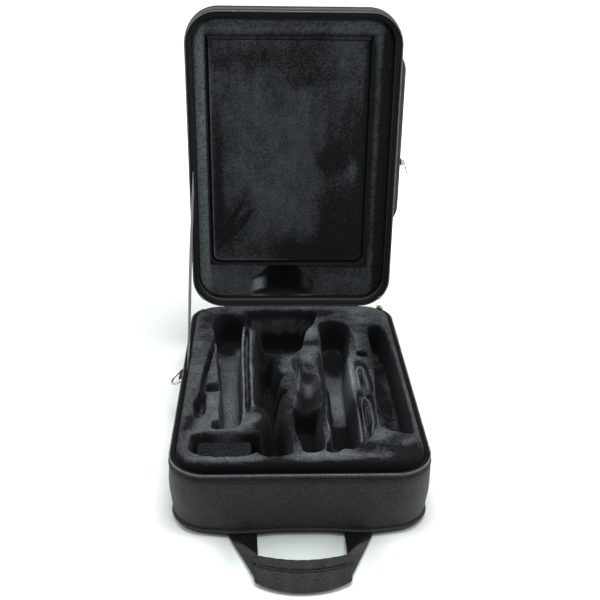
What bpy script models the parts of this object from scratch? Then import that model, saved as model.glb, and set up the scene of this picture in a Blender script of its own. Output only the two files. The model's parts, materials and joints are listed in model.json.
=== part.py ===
# Clarinet case: a soft-sided case that zips shut, with its lid hinged on a short side.
# Metres, +Z up, X across, Y from the front to the hinge. The origin is the centre of the
# underside. The case stands open, as in the photograph: the base lies flat, the lid stands
# upright on its stay ribbon, and the carrying handle lies forward on the table.

import math

import bmesh
import bpy
from mathutils import Matrix, Vector

for item in list(bpy.data.objects):
    bpy.data.objects.remove(item, do_unlink=True)

# Driving sizes of the case
case_width = 0.250
case_length = 0.366
corner_radius = 0.038
base_depth = 0.0695
lid_depth = 0.037
hinge_drop = 0.004
part_gap = 0.0003
cut_overrun = 0.020
weld_distance = 0.00003

# Walls, seams and the main zipper, the same on the base and the lid
cover_thickness = 0.0015
cover_turn_up = 0.0042
edge_rounding = 0.0035
shell_wall = 0.005
shell_rim_drop = 0.0035
piping_radius = 0.0015
tape_width = 0.0058
tape_thickness = 0.001
tape_inset = 0.0002
chain_width = 0.0016
chain_thickness = 0.0024
zipper_end_angle = math.radians(50)
hinge_leaf_thickness = 0.0012
hinge_leaf_width = 0.170

# Instrument tray
tray_rise = 0.009
tray_rounding = 0.0035
tray_rear_setback = 0.012
well_radius = 0.006
well_round_share = 0.455
bell_well_depth = 0.060
joint_well_depth = 0.042
mouthpiece_well_depth = 0.040
barrel_well_depth = 0.032
accessory_well_depth = 0.035
key_well_depth = 0.016
trough_depth = 0.042
pad_drop = 0.0105  # of the pad's face below the plateau
pad_side_gap = 0.0105  # to the left of the pad
pad_clearance = 0.0012

# Lid lining, document compartment and its flap
lining_recess = 0.0098
ledge_recess = 0.0174
ledge_width = 0.010
window_side_border = 0.0285
window_offset = -0.0055
window_start = 0.0564
window_end_border = 0.0286
window_width = case_width - 2 * window_side_border
window_length = case_length - window_start - window_end_border
window_corner_radius = 0.0012
flap_recess = 0.0125
flap_thickness = 0.0026
flap_corner_radius = 0.010
flap_clearance = 0.0022
edge_cord_radius = 0.0009
hinge_strip_width = 0.004
compartment_lining_thickness = 0.0015
pad_strip_width = 0.060
pad_strip_length = 0.008
hook_thickness = 0.0008
loop_thickness = 0.0005
scoop_depth = 0.017
scoop_lip = 0.001
scoop_neck_share = 0.4
scoop_mouth_width = 0.077
scoop_neck_width = 0.036
scoop_start = 0.012
scoop_length = 0.041

# Pocket on the outside of the lid
pocket_rise = 0.0155
pocket_crown = 0.004
pocket_crown_shares = ((0.16, 0.45), (0.42, 0.85), (0.72, 1.0))
pocket_seam_rise = 0.0060
pocket_chain_width = 0.0026
pocket_wall = 0.0018
pocket_radius = 0.030
pocket_slider_height = 0.0052
slider_length = 0.010
slider_height = 0.0066
slider_thickness = 0.0040
slider_rounding = 0.0008
main_slider_share = 0.9
tab_length = 0.018
tab_width = 0.0045
tab_thickness = 0.0012
tab_ring_reach = 0.003
tab_hole_width = 0.0020
tab_hole_radius = 0.0009
tab_start_share = 0.42
tab_hinge_share = 0.55
main_tab_angle = math.radians(-84)
pocket_tab_angle = math.radians(-164)

# Carrying handle
strap_width = 0.027
strap_thickness = 0.002
strap_spacing = 0.110
strap_slack = 0.0027
handle_standoff = 0.0020
handle_reach = 0.0652
grip_length = 0.089
grip_width = 0.028
grip_end_width = 0.022
grip_thickness = 0.008
strap_in_grip_share = 0.36
strap_exit_share = 1.07
grip_bow = 0.011
grip_tilt = math.radians(24)
grip_wall = 0.0016
grip_bore_share = 1.04
grip_squareness = (0.6, 0.8)
floor_clearance = 0.0010

# Stay ribbon and shoulder-strap ring
ribbon_width = 0.018
ribbon_thickness = 0.0006
ribbon_inset = 0.0045
stay_reach_up = 0.167
stay_reach_forward = 0.155
ring_wire_radius = 0.0013
ring_span = 0.026
ring_reach = 0.014
ring_drop = 0.0155  # of the ring's bar below the parting plane
ring_height = base_depth - ring_drop
ring_place = 0.030
ring_droop = math.radians(35)
ring_tab_width = 0.016
ring_tab_length = 0.014
ring_tab_thickness = 0.0012

# Places of the wells as shares of the case's width and length, measured from its centre.
bell_axis_share = -0.048
bell_front_share = 0.093
bell_rear_share = 0.413
bell_mouth_share = 0.164
bell_outline_shares = ((0.0, 0.0), (0.03, 0.27), (0.10, 0.43), (0.22, 0.51), (0.40, 0.57),
                       (0.55, 0.66), (0.64, 0.79), (0.72, 0.95), (0.78, 1.0), (1.0, 1.0))
lower_joint_shares = (-0.284, 0.027, 0.128, 0.689)
lower_joint_turn = math.radians(3.1)
upper_joint_shares = (0.188, -0.049, 0.112, 0.732)
upper_joint_turn = math.radians(1.5)
key_groove_shares = (-0.387, -0.077, 0.034, 0.366)
mouthpiece_shares = (-0.110, -0.194, 0.108, 0.503)
barrel_shares = (0.052, -0.238, 0.088, 0.372)
accessory_shares = (-0.302, -0.393, 0.236, 0.104)
key_recess_shares = (0.296, -0.116, 0.064, 0.522)
trough_shares = (0.402, -0.025, 0.084, 0.634)

# Where the pocket lies on the lid, as shares of the lid's width and length from its centre.
pocket_foot_shares = (0.028, 0.066, 0.904, 0.617)
pocket_seam_shares = (0.052, 0.066, 0.984, 0.628)
pocket_rim_shares = (0.040, 0.066, 0.940, 0.606)
pocket_slider_share = -0.008

parts = bpy.data.collections.new("clarinet_case")
cutters = bpy.data.collections.new("cutters")
bpy.context.scene.collection.children.link(parts)
bpy.context.scene.collection.children.link(cutters)

materials = {}


def material(name, colour, roughness, metallic=0.0):
    """A Principled material, made once for each name."""
    if name not in materials:
        made = bpy.data.materials.new(name)
        made.use_nodes = True
        shader = made.node_tree.nodes["Principled BSDF"]
        shader.inputs["Base Color"].default_value = (*colour, 1)
        shader.inputs["Roughness"].default_value = roughness
        shader.inputs["Metallic"].default_value = metallic
        materials[name] = made
    return materials[name]


nylon = ("black_nylon", (0.035, 0.035, 0.038), 0.75)
tape = ("zipper_tape", (0.028, 0.028, 0.030), 0.85)
chain = ("zipper_chain", (0.045, 0.045, 0.047), 0.45)
velvet = ("charcoal_velvet", (0.060, 0.066, 0.070), 0.95)
foam = ("shell_foam", (0.030, 0.030, 0.030), 0.90)
webbing = ("handle_webbing", (0.050, 0.050, 0.052), 0.80)
ribbon = ("grey_ribbon", (0.230, 0.225, 0.220), 0.70)
metal = ("nickel", (0.520, 0.500, 0.460), 0.30, 1.0)
hook = ("hook_and_loop", (0.020, 0.020, 0.020), 0.95)


def link(name, mesh, finish, parent=None, location=(0, 0, 0)):
    """Puts a mesh in the case's collection as one named piece."""
    piece = bpy.data.objects.new(name, mesh)
    piece.location = location
    if parent:
        piece.parent = parent
    if finish:
        mesh.materials.append(material(*finish))
        parts.objects.link(piece)
    else:
        piece.hide_render = True
        piece.display_type = "WIRE"
        cutters.objects.link(piece)
    return piece


def curve_mesh(curve, name):
    """Turns a curve into a mesh with its caps welded, and removes the curve."""
    holder = bpy.data.objects.new(name + "_curve", curve)
    bpy.context.scene.collection.objects.link(holder)
    shape = holder.evaluated_get(bpy.context.evaluated_depsgraph_get())
    mesh = bpy.data.meshes.new_from_object(shape)
    mesh.name = name
    bpy.data.objects.remove(holder)
    work = bmesh.new()
    work.from_mesh(mesh)
    bmesh.ops.remove_doubles(work, verts=work.verts, dist=weld_distance)
    bmesh.ops.recalc_face_normals(work, faces=work.faces)
    work.to_mesh(mesh)
    work.free()
    return mesh


def plate_mesh(name, outlines, low, high):
    """A flat plate between two heights. Outlines inside the first one are its holes."""
    curve = bpy.data.curves.new(name, "CURVE")
    curve.dimensions = "2D"
    curve.fill_mode = "BOTH"
    curve.extrude = (high - low) / 2
    for points in outlines:
        spline = curve.splines.new("POLY")
        spline.points.add(len(points) - 1)
        for place, (x, y) in zip(spline.points, points):
            place.co = (x, y, 0, 1)
        spline.use_cyclic_u = True
    mesh = curve_mesh(curve, name)
    mesh.transform(Matrix.Translation((0, 0, (low + high) / 2)))
    return mesh


def tube_mesh(name, points, radius, closed=False, resolution=2):
    """A round tube or wire along points."""
    curve = bpy.data.curves.new(name, "CURVE")
    curve.dimensions = "3D"
    curve.bevel_depth = radius
    curve.bevel_resolution = resolution
    curve.use_fill_caps = True
    spline = curve.splines.new("POLY")
    spline.points.add(len(points) - 1)
    for place, point in zip(spline.points, points):
        place.co = (*point, 1)
    spline.use_cyclic_u = closed
    mesh = curve_mesh(curve, name)
    mesh.shade_smooth()
    return mesh


def loft_mesh(name, rings, capped=True):
    """A skin through rings of as many points each, for sections that differ."""
    work = bmesh.new()
    rows = [[work.verts.new(point) for point in ring] for ring in rings]
    count = len(rows[0])
    for row, after in zip(rows, rows[1:]):
        for i in range(count):
            j = (i + 1) % count
            work.faces.new((row[i], row[j], after[j], after[i]))
    if capped:
        work.faces.new(rows[0])
        work.faces.new(rows[-1])
    bmesh.ops.recalc_face_normals(work, faces=work.faces)
    mesh = bpy.data.meshes.new(name)
    work.to_mesh(mesh)
    work.free()
    return mesh


def arc(centre, radius, start, end, steps=6):
    """Points on an arc, both ends included."""
    angles = [start + (end - start) * i / steps for i in range(steps + 1)]
    return [(centre[0] + radius * math.cos(a), centre[1] + radius * math.sin(a)) for a in angles]


def rounded(width, length, radius, centre=(0, 0), turn=0.0, steps=6):
    """A rectangle with round corners, anticlockwise."""
    half_x = width / 2 - radius
    half_y = length / 2 - radius
    quarter = math.pi / 2
    points = []
    for i, (side_x, side_y) in enumerate(((1, 1), (-1, 1), (-1, -1), (1, -1))):
        corner = (side_x * half_x, side_y * half_y)
        points += arc(corner, radius, i * quarter, (i + 1) * quarter, steps)
    cos, sin = math.cos(turn), math.sin(turn)
    return [(centre[0] + x * cos - y * sin, centre[1] + x * sin + y * cos) for x, y in points]


def case_outline(inset, steps=8):
    """The case's outline, drawn in by an inset."""
    return rounded(case_width - 2 * inset, case_length - 2 * inset, corner_radius - inset,
                   steps=steps)


def open_band(inset, thickness, hinge_side):
    """The outline of a band along the case's edge that stops at each hinge corner."""
    straight_x = case_width / 2 - corner_radius
    straight_y = case_length / 2 - corner_radius
    quarter = math.pi / 2

    def run(radius):
        start = quarter - zipper_end_angle
        points = arc((straight_x, straight_y), radius, start, 0)
        points += arc((straight_x, -straight_y), radius, 0, -quarter)
        points += arc((-straight_x, -straight_y), radius, -quarter, -2 * quarter)
        points += arc((-straight_x, straight_y), radius, 2 * quarter, 2 * quarter - start)
        return [(x, hinge_side * y) for x, y in points]

    outer = run(corner_radius - inset)
    inner = run(corner_radius - inset - thickness)
    return outer + inner[::-1]


def cut(target, cutter):
    """A boolean that keeps its cutter in the cutters' collection."""
    step = target.modifiers.new("cut", "BOOLEAN")
    step.operation = "DIFFERENCE"
    step.solver = "EXACT"
    step.object = cutter


def round_edges(target, width, angle=50, segments=2):
    """Rounds the sharp edges of a piece."""
    step = target.modifiers.new("rounding", "BEVEL")
    step.width = width
    step.segments = segments
    step.limit_method = "ANGLE"
    step.angle_limit = math.radians(angle)


def box_mesh(name, low, high):
    """A box between two corners, from a unit cube."""
    work = bmesh.new()
    bmesh.ops.create_cube(work, size=1)
    size = Vector(high) - Vector(low)
    middle = (Vector(high) + Vector(low)) / 2
    bmesh.ops.scale(work, vec=size, verts=work.verts)
    bmesh.ops.translate(work, vec=middle, verts=work.verts)
    mesh = bpy.data.meshes.new(name)
    work.to_mesh(mesh)
    work.free()
    return mesh


# Frames of the two halves. In each one the parting line is at zero height and the half lies
# below it, so one set of functions builds both. The lid's frame stands on the hinge axis.
base_frame = bpy.data.objects.new("base_frame", None)
base_frame.location = (0, 0, base_depth)
parts.objects.link(base_frame)
hinge_height = base_depth - hinge_drop
lid_frame = bpy.data.objects.new("lid_hinge_axis", None)
lid_frame.location = (0, case_length / 2, hinge_height)
lid_frame.rotation_euler = (math.pi / 2, 0, 0)
parts.objects.link(lid_frame)
lid_offset = (0, case_length / 2, -hinge_drop)

shell_inset = cover_thickness + part_gap
cavity_inset = shell_inset + shell_wall
piping_rise = cover_turn_up + part_gap + piping_radius
cover_edge = piping_rise + piping_radius + part_gap
tape_low = -chain_width - 2 * part_gap - tape_width
tape_high = -chain_width - 2 * part_gap


def shell(prefix, depth, frame, offset):
    """The stiff foam box that gives a half its shape."""
    low = -depth + shell_inset
    mesh = plate_mesh(prefix + "_shell", [case_outline(shell_inset)], low, -shell_rim_drop)
    piece = link(prefix + "_shell", mesh, foam, frame, offset)
    hollow = plate_mesh(prefix + "_cavity", [case_outline(cavity_inset)],
                        low + shell_wall, cut_overrun)
    cut(piece, link(prefix + "_cavity", hollow, None, frame, offset))


def covers(prefix, flat_name, depth, frame, offset):
    """The nylon skin: a flat panel with turned-up edges, a welt of piping, a side band."""
    panel = plate_mesh(flat_name, [case_outline(0)], -depth, -depth + cover_turn_up)
    work = bmesh.new()
    work.from_mesh(panel)
    rim = [e for e in work.edges
           if all(abs(v.co.z + depth) < part_gap for v in e.verts)
           and sum(abs(f.normal.z) < 0.5 for f in e.link_faces) == 1]
    bmesh.ops.bevel(work, geom=rim, offset=edge_rounding, segments=3, profile=0.5,
                    affect="EDGES")
    work.to_mesh(panel)
    work.free()
    piece = link(flat_name, panel, nylon, frame, offset)
    bed = plate_mesh(flat_name + "_bed", [case_outline(cover_thickness)],
                     -depth + cover_thickness, cut_overrun)
    cut(piece, link(flat_name + "_bed", bed, None, frame, offset))

    welt = [(x, y, -depth + piping_rise) for x, y in case_outline(0)]
    welt_mesh = tube_mesh(prefix + "_piping", welt, piping_radius, closed=True, resolution=1)
    link(prefix + "_piping", welt_mesh, nylon, frame, offset)

    band = plate_mesh(prefix + "_side_cover", [case_outline(0), case_outline(cover_thickness)],
                      -depth + cover_edge, tape_low - part_gap)
    link(prefix + "_side_cover", band, nylon, frame, offset)


def zipper(prefix, frame, offset, hinge_side):
    """Half of the main zipper: woven tape on the cover's edge and the chain above it."""
    tape_run = open_band(tape_inset, tape_thickness, hinge_side)
    mesh = plate_mesh(prefix + "_zipper_tape", [tape_run], tape_low, tape_high)
    link(prefix + "_zipper_tape", mesh, tape, frame, offset)
    chain_run = open_band(tape_inset, chain_thickness, hinge_side)
    mesh = plate_mesh(prefix + "_zipper_chain", [chain_run],
                      tape_high + part_gap, -part_gap / 2)
    link(prefix + "_zipper_chain", mesh, chain, frame, offset)


def hinge_leaf(prefix, frame, offset, hinge_side, low, high):
    """Half of the fabric hinge, sewn to the outside of the wall at the hinge."""
    edge = hinge_side * case_length / 2
    inner = edge - hinge_side * hinge_leaf_thickness
    ends = sorted((edge, inner))
    half = hinge_leaf_width / 2
    mesh = box_mesh("hinge_leaf_" + prefix, (-half, ends[0], low), (half, ends[1], high))
    link("hinge_leaf_" + prefix, mesh, nylon, frame, offset)


shell("base", base_depth, base_frame, (0, 0, 0))
covers("base", "base_bottom_cover", base_depth, base_frame, (0, 0, 0))
zipper("base", base_frame, (0, 0, 0), 1)
shell("lid", lid_depth, lid_frame, lid_offset)
covers("lid", "lid_outer_cover", lid_depth, lid_frame, lid_offset)
zipper("lid", lid_frame, lid_offset, -1)
hinge_leaf("base", base_frame, (0, 0, 0), 1, tape_low, -hinge_drop - part_gap)
hinge_leaf("lid", lid_frame, lid_offset, -1, tape_low, hinge_drop - part_gap)


# Instrument tray: one velvet-covered block with a shaped well for each part of the clarinet
tray_inset = cavity_inset + part_gap
tray_floor = -base_depth + shell_inset + shell_wall + part_gap


def placed(shares):
    """Centre and size of a place given as shares of the case's width and length."""
    x, y, width, length = shares
    return (x * case_width, y * case_length), width * case_width, length * case_length


def well(name, shares, depth, turn=0.0, radius=well_radius):
    """A cutter for a round-cornered well of a given depth below the tray's top."""
    centre, width, length = placed(shares)
    outline = rounded(width, length, min(radius, width * well_round_share), centre, turn, steps=3)
    mesh = plate_mesh(name, [outline], tray_rise - depth, tray_rise + cut_overrun)
    return link(name, mesh, None, base_frame)


def bell_well():
    """A cutter with the bell's own outline: a narrow tenon end that flares to the mouth."""
    start = bell_front_share * case_length
    length = (bell_rear_share - bell_front_share) * case_length
    half = bell_mouth_share * case_width
    axis = bell_axis_share * case_width
    right = [(axis + w * half, start + s * length) for s, w in bell_outline_shares[1:]]
    left = [(2 * axis - x, y) for x, y in right]
    outline = [(axis, start)] + right + left[::-1]
    mesh = plate_mesh("bell_well", [outline], tray_rise - bell_well_depth,
                      tray_rise + cut_overrun)
    return link("bell_well", mesh, None, base_frame)


def tray():
    """The tray stands proud of the zipper, so its edge closes inside the lid."""
    block = [case_outline(tray_inset, steps=6)]
    mesh = plate_mesh("instrument_tray", block, tray_floor, tray_rise)
    piece = link("instrument_tray", mesh, velvet, base_frame)
    behind = box_mesh("tray_setback", (-case_width, case_length / 2 - tray_inset
                                       - tray_rear_setback, -shell_rim_drop),
                      (case_width, case_length, tray_rise + cut_overrun))
    cut(piece, link("tray_setback", behind, None, base_frame))
    round_edges(piece, tray_rounding)
    cut(piece, bell_well())
    cut(piece, well("lower_joint_well", lower_joint_shares, joint_well_depth,
                    lower_joint_turn, radius=case_width))
    cut(piece, well("upper_joint_well", upper_joint_shares, joint_well_depth,
                    upper_joint_turn, radius=case_width))
    cut(piece, well("key_groove", key_groove_shares, key_well_depth))
    cut(piece, well("mouthpiece_well", mouthpiece_shares, mouthpiece_well_depth))
    cut(piece, well("barrel_well", barrel_shares, barrel_well_depth))
    cut(piece, well("accessory_well", accessory_shares, accessory_well_depth))
    cut(piece, well("key_recess", key_recess_shares, key_well_depth))
    cut(piece, well("side_trough", trough_shares, trough_depth))

    centre, width, length = placed(accessory_shares)
    shrink = 2 * pad_clearance
    outline = rounded(width - shrink - pad_side_gap, length - shrink,
                      well_radius - pad_clearance,
                      (centre[0] + pad_side_gap / 2, centre[1]), steps=3)
    floor = tray_rise - accessory_well_depth + part_gap
    mesh = plate_mesh("accessory_pad", [outline], floor, tray_rise - pad_drop)
    link("accessory_pad", mesh, velvet, base_frame)


tray()


# Lid lining: a padded frame round the document compartment, with a hollow for the bell
window_centre = (window_offset, window_start + window_length / 2 - case_length / 2)
lining_back = lid_depth - shell_inset - shell_wall - part_gap


def lid_plate(name, outlines, near, far, finish, parent=lid_frame, offset=lid_offset):
    """A plate in the lid between two depths below its rim."""
    return link(name, plate_mesh(name, outlines, -far, -near), finish, parent, offset)


def window(inset, radius, steps=3):
    """The compartment's opening, drawn in by an inset."""
    return rounded(window_width - 2 * inset, window_length - 2 * inset, radius, window_centre,
                   steps=steps)


def lining():
    """The frame has a ledge inside its opening that the flap closes on."""
    frame = lid_plate("lid_lining_frame", [case_outline(tray_inset, steps=6),
                                           window(ledge_width, well_radius)],
                      lining_recess, lining_back, velvet)
    sink = lid_plate("flap_rebate", [window(0, window_corner_radius)], -cut_overrun, ledge_recess,
                     None)
    cut(frame, sink)
    rings = []
    for along, width in ((scoop_start, scoop_mouth_width),
                         (scoop_start + scoop_length, scoop_neck_width)):
        v = along - case_length / 2
        share = width / scoop_mouth_width
        depth = scoop_depth * (scoop_neck_share + (1 - scoop_neck_share) * share)
        half = [(width / 2 * math.cos(a), -scoop_lip - depth * math.sin(a))
                for a in (math.pi * i / 8 for i in range(9))]
        top = [(-width / 2, cut_overrun), (width / 2, cut_overrun)]
        axis = bell_axis_share * case_width
        rings.append([(axis + x, v, z - lining_recess) for x, z in half + top])
    scoop = link("bell_scoop", loft_mesh("bell_scoop", rings), None, lid_frame, lid_offset)
    cut(frame, scoop)
    lid_plate("compartment_lining", [window(ledge_width + part_gap, well_radius)],
              lining_back - compartment_lining_thickness, lining_back, velvet)


lining()

flap_top = window_centre[1] + window_length / 2 - hinge_strip_width - part_gap
flap_axis = bpy.data.objects.new("flap_hinge_axis", None)
flap_axis.parent = lid_frame
flap_axis.location = (0, lid_offset[1] + flap_top + part_gap, lid_offset[2] - flap_recess)
parts.objects.link(flap_axis)
flap_offset = (0, -flap_top - part_gap, flap_recess)


def flap_outline(inset):
    """The flap: square at its hinge, round at its two free corners."""
    low = window_centre[1] - window_length / 2 + flap_clearance + inset
    half = window_width / 2 - flap_clearance - inset
    radius = flap_corner_radius - inset
    quarter = math.pi / 2
    points = [(window_offset + half, flap_top), (window_offset - half, flap_top)]
    points += arc((window_offset - half + radius, low + radius), radius, 2 * quarter,
                  3 * quarter)
    points += arc((window_offset + half - radius, low + radius), radius, 3 * quarter,
                  4 * quarter)
    return points


def flap():
    """The flap board, the cord rolled in its free edges, and its fastening and hinge."""
    lid_plate("document_flap", [flap_outline(2 * edge_cord_radius + part_gap)], flap_recess,
              flap_recess + flap_thickness, velvet, flap_axis, flap_offset)
    run = flap_outline(edge_cord_radius)[1:] + flap_outline(edge_cord_radius)[:1]
    middle = -flap_recess - flap_thickness / 2
    cord = tube_mesh("flap_edge_cord", [(x, y, middle) for x, y in run], edge_cord_radius,
                     resolution=1)
    link("flap_edge_cord", cord, velvet, flap_axis, flap_offset)

    rest = window_centre[1] - window_length / 2 + ledge_width - pad_strip_length
    half = pad_strip_width / 2
    strip = [(window_offset - half, rest), (window_offset + half, rest),
             (window_offset + half, rest + pad_strip_length),
             (window_offset - half, rest + pad_strip_length)]
    back = flap_recess + flap_thickness + part_gap
    lid_plate("flap_hook_strip", [strip], back, back + hook_thickness, hook, flap_axis,
              flap_offset)
    lid_plate("ledge_loop_strip", [strip], ledge_recess - part_gap - loop_thickness,
              ledge_recess - part_gap, hook)

    high = window_centre[1] + window_length / 2 - part_gap
    half = window_width / 2 - flap_clearance
    hinge = [(window_offset - half, flap_top + 2 * part_gap),
             (window_offset + half, flap_top + 2 * part_gap),
             (window_offset + half, high), (window_offset - half, high)]
    lid_plate("flap_hinge_strip", [hinge], flap_recess, ledge_recess - part_gap, velvet)


flap()


# Pocket on the outside of the lid: a gusset, a zipper along its widest line, a crowned panel
pocket_seam = lid_depth + pocket_seam_rise
pocket_foot = lid_depth + part_gap


def pocket_outline(shares, inset=0.0):
    """The pocket's outline at one depth, drawn in by an inset."""
    (x, y), width, length = placed(shares)
    return rounded(width - 2 * inset, length - 2 * inset, pocket_radius - inset,
                   (x, y), steps=6)


def skin_ring(rows):
    """A closed wall through rows of (outline, depth), out along one side, back by the other."""
    rings = [[(x, y, -depth) for x, y in outline] for outline, depth in rows]
    return loft_mesh("ring", rings + [rings[0]], capped=False)


def pocket():
    """Its right side bulges past the lid's own edge, as the photograph shows."""
    foot = [(pocket_outline(pocket_foot_shares), pocket_foot),
            (pocket_outline(pocket_seam_shares), pocket_seam),
            (pocket_outline(pocket_seam_shares, pocket_wall), pocket_seam),
            (pocket_outline(pocket_foot_shares, pocket_wall), pocket_foot)]
    mesh = skin_ring(foot)
    weld(mesh)
    link("pocket_gusset", mesh, nylon, lid_frame, lid_offset)

    teeth = pocket_seam + part_gap
    lid_plate("pocket_zipper_chain", [pocket_outline(pocket_seam_shares),
                                      pocket_outline(pocket_seam_shares, pocket_wall)],
              teeth, teeth + pocket_chain_width, chain)

    low = teeth + pocket_chain_width + part_gap
    top = lid_depth + pocket_rise
    rows = [pocket_outline(pocket_seam_shares), pocket_outline(pocket_rim_shares)]
    inner = [pocket_outline(pocket_seam_shares, pocket_wall),
             pocket_outline(pocket_rim_shares, pocket_wall)]
    rings = [[(x, y, -low) for x, y in inner[0]], [(x, y, -low) for x, y in rows[0]]]
    rings.append([(x, y, -top) for x, y in rows[1]])
    (x0, y0), width, length = placed(pocket_rim_shares)
    for share, rise in pocket_crown_shares:
        rings.append([(x + (x0 - x) * share, y + (y0 - y) * share, -top - pocket_crown * rise)
                      for x, y in rows[1]])
    under = []
    for share, rise in pocket_crown_shares[::-1]:
        under.append([(x + (x0 - x) * share, y + (y0 - y) * share,
                       pocket_wall - top - pocket_crown * rise) for x, y in inner[1]])
    under.append([(x, y, pocket_wall - top) for x, y in inner[1]])
    work = bmesh.new()
    outside = loft_rows(work, rings)
    inside = loft_rows(work, under + [rings[0]], last=outside[0])
    work.faces.new(outside[-1])
    work.faces.new(inside[0])
    bmesh.ops.recalc_face_normals(work, faces=work.faces)
    mesh = bpy.data.meshes.new("pocket_panel")
    work.to_mesh(mesh)
    work.free()
    link("pocket_panel", mesh, nylon, lid_frame, lid_offset)


def weld(mesh):
    """Joins the first and last rows of a closed wall."""
    work = bmesh.new()
    work.from_mesh(mesh)
    bmesh.ops.remove_doubles(work, verts=work.verts, dist=weld_distance)
    bmesh.ops.recalc_face_normals(work, faces=work.faces)
    work.to_mesh(mesh)
    work.free()


def loft_rows(work, rings, last=None):
    """Adds a skin through rings to a mesh being built, ending on rows already there."""
    rows = [[work.verts.new(point) for point in ring] for ring in rings[:-1]]
    rows.append(last or [work.verts.new(point) for point in rings[-1]])
    count = len(rows[0])
    for row, after in zip(rows, rows[1:]):
        for i in range(count):
            j = (i + 1) % count
            work.faces.new((row[i], row[j], after[j], after[i]))
    return rows


pocket()


def slider_mesh(name, length, height, thickness):
    """A slider: a small block, longer along its chain, with round edges."""
    mesh = box_mesh(name, (-length / 2, -thickness / 2, -height / 2),
                    (length / 2, thickness / 2, height / 2))
    work = bmesh.new()
    work.from_mesh(mesh)
    bmesh.ops.bevel(work, geom=list(work.edges), offset=slider_rounding, segments=2,
                    profile=0.5, affect="EDGES")
    work.to_mesh(mesh)
    work.free()
    return mesh


def tab_mesh(name):
    """A pull tab along +Y from its hinge: a ring's reach, then a flat tab with a hole."""
    half = tab_width / 2
    end = tab_length
    start = tab_thickness * tab_start_share
    outline = [(-half, start)] + [(half, start)] + arc((0, end - half), half, 0, math.pi, 4)
    hole = rounded(tab_hole_width, tab_ring_reach, tab_hole_radius, (0, tab_ring_reach),
                   steps=2)
    return plate_mesh(name, [outline, hole], -tab_thickness / 2, tab_thickness / 2)


def pocket_pull():
    """The pocket's slider rides the straight run of its zipper on the lid's right side."""
    (x, y), width, length = placed(pocket_seam_shares)
    outer = x + width / 2
    depth = pocket_seam + part_gap + pocket_chain_width / 2
    axis = bpy.data.objects.new("pocket_slider_axis", None)
    axis.parent = lid_frame
    reach = slider_thickness / 2 + part_gap
    axis.location = (outer + reach, lid_offset[1] + pocket_slider_share * case_length,
                     lid_offset[2] - depth)
    parts.objects.link(axis)
    body = slider_mesh("pocket_slider", slider_thickness, pocket_slider_height,
                       slider_length)
    link("pocket_slider", body, metal, axis)

    tab = tab_mesh("pocket_pull_tab")
    tab.transform(Matrix.Rotation(math.pi / 2, 4, "Y"))
    hang = bpy.data.objects.new("pocket_pull_axis", None)
    hang.parent = axis
    hang.location = (slider_thickness / 2 + part_gap + tab_hinge_share * tab_thickness, 0, 0)
    hang.rotation_euler = (0, 0, pocket_tab_angle)
    parts.objects.link(hang)
    link("pocket_pull_tab", tab, metal, hang)


pocket_pull()


def main_pull():
    """The main slider waits at the right-hand end of its chain, at the hinge corner."""
    length = slider_length * main_slider_share
    angle = math.pi / 2 - zipper_end_angle + (length / 2 + 2 * part_gap) / corner_radius
    corner = Vector((case_width / 2 - corner_radius, case_length / 2 - corner_radius, 0))
    out = Vector((math.cos(angle), math.sin(angle), 0))
    axis = bpy.data.objects.new("main_slider_axis", None)
    axis.parent = base_frame
    axis.location = corner + out * corner_radius
    axis.rotation_euler = (0, 0, angle - math.pi / 2)
    parts.objects.link(axis)
    body = slider_mesh("main_slider", length, slider_height, slider_thickness)
    link("main_slider", body, metal, axis)

    hang = bpy.data.objects.new("main_pull_axis", None)
    hang.parent = axis
    hang.location = (0, slider_thickness / 2 + part_gap + tab_hinge_share * tab_thickness, 0)
    hang.rotation_euler = (main_tab_angle, 0, 0)
    parts.objects.link(hang)
    link("main_pull_tab", tab_mesh("main_pull_tab"), metal, hang)


main_pull()


# Carrying handle: one webbing strap sewn in at the bottom seam, with a sleeve round its middle
strap_height = floor_clearance + strap_thickness / 2
handle_axis = bpy.data.objects.new("handle_axis", None)
handle_axis.location = (0, -case_length / 2 - handle_standoff, strap_height)
parts.objects.link(handle_axis)


def grip_row(share):
    """Centre, width direction and width of the grip, for a share from -1 to 1 of its length."""
    across = Vector((0, -math.cos(grip_tilt), -math.sin(grip_tilt)))
    bow = grip_bow * (1 - share * share)
    width = grip_end_width + (grip_width - grip_end_width) * max(1 - share ** 4, 0)
    lift = width / 2 * math.sin(grip_tilt) + grip_thickness / 2 * math.cos(grip_tilt)
    centre = Vector((share * grip_length / 2, -handle_reach + grip_bow - bow,
                     lift + floor_clearance - strap_height))
    return centre, across, width


def strap_row(side, share):
    """A strap's width runs from straight across at its root to the grip's own slant."""
    centre, across, width = grip_row(side * strap_exit_share)
    root = Vector((side * strap_spacing / 2, handle_standoff - part_gap, 0))
    root_across = Vector((side, 0, 0))
    half_root = root_across * strap_width / 2
    half_exit = across * width * strap_in_grip_share
    edge_out = (root + half_root).lerp(centre + half_exit, share)
    edge_in = (root - half_root).lerp(centre - half_exit, share)
    slack = Vector((0, 0, strap_slack * math.sin(math.pi * share)))
    return (edge_out + edge_in) / 2 + slack, (edge_out - edge_in) / 2


def webbing_rows():
    """Centres and half-width vectors along the whole strap, root to root."""
    rows = []
    steps = 6
    for i in range(steps):
        rows.append((*strap_row(-1, i / steps), None))
    for i in range(-4, 5):
        centre, across, width = grip_row(i / 4 * strap_exit_share)
        normal = Vector((1, 0, 0)).cross(across)
        rows.append((centre, across * width * strap_in_grip_share, normal))
    for i in range(steps - 1, -1, -1):
        rows.append((*strap_row(1, i / steps), None))
    return rows


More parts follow.
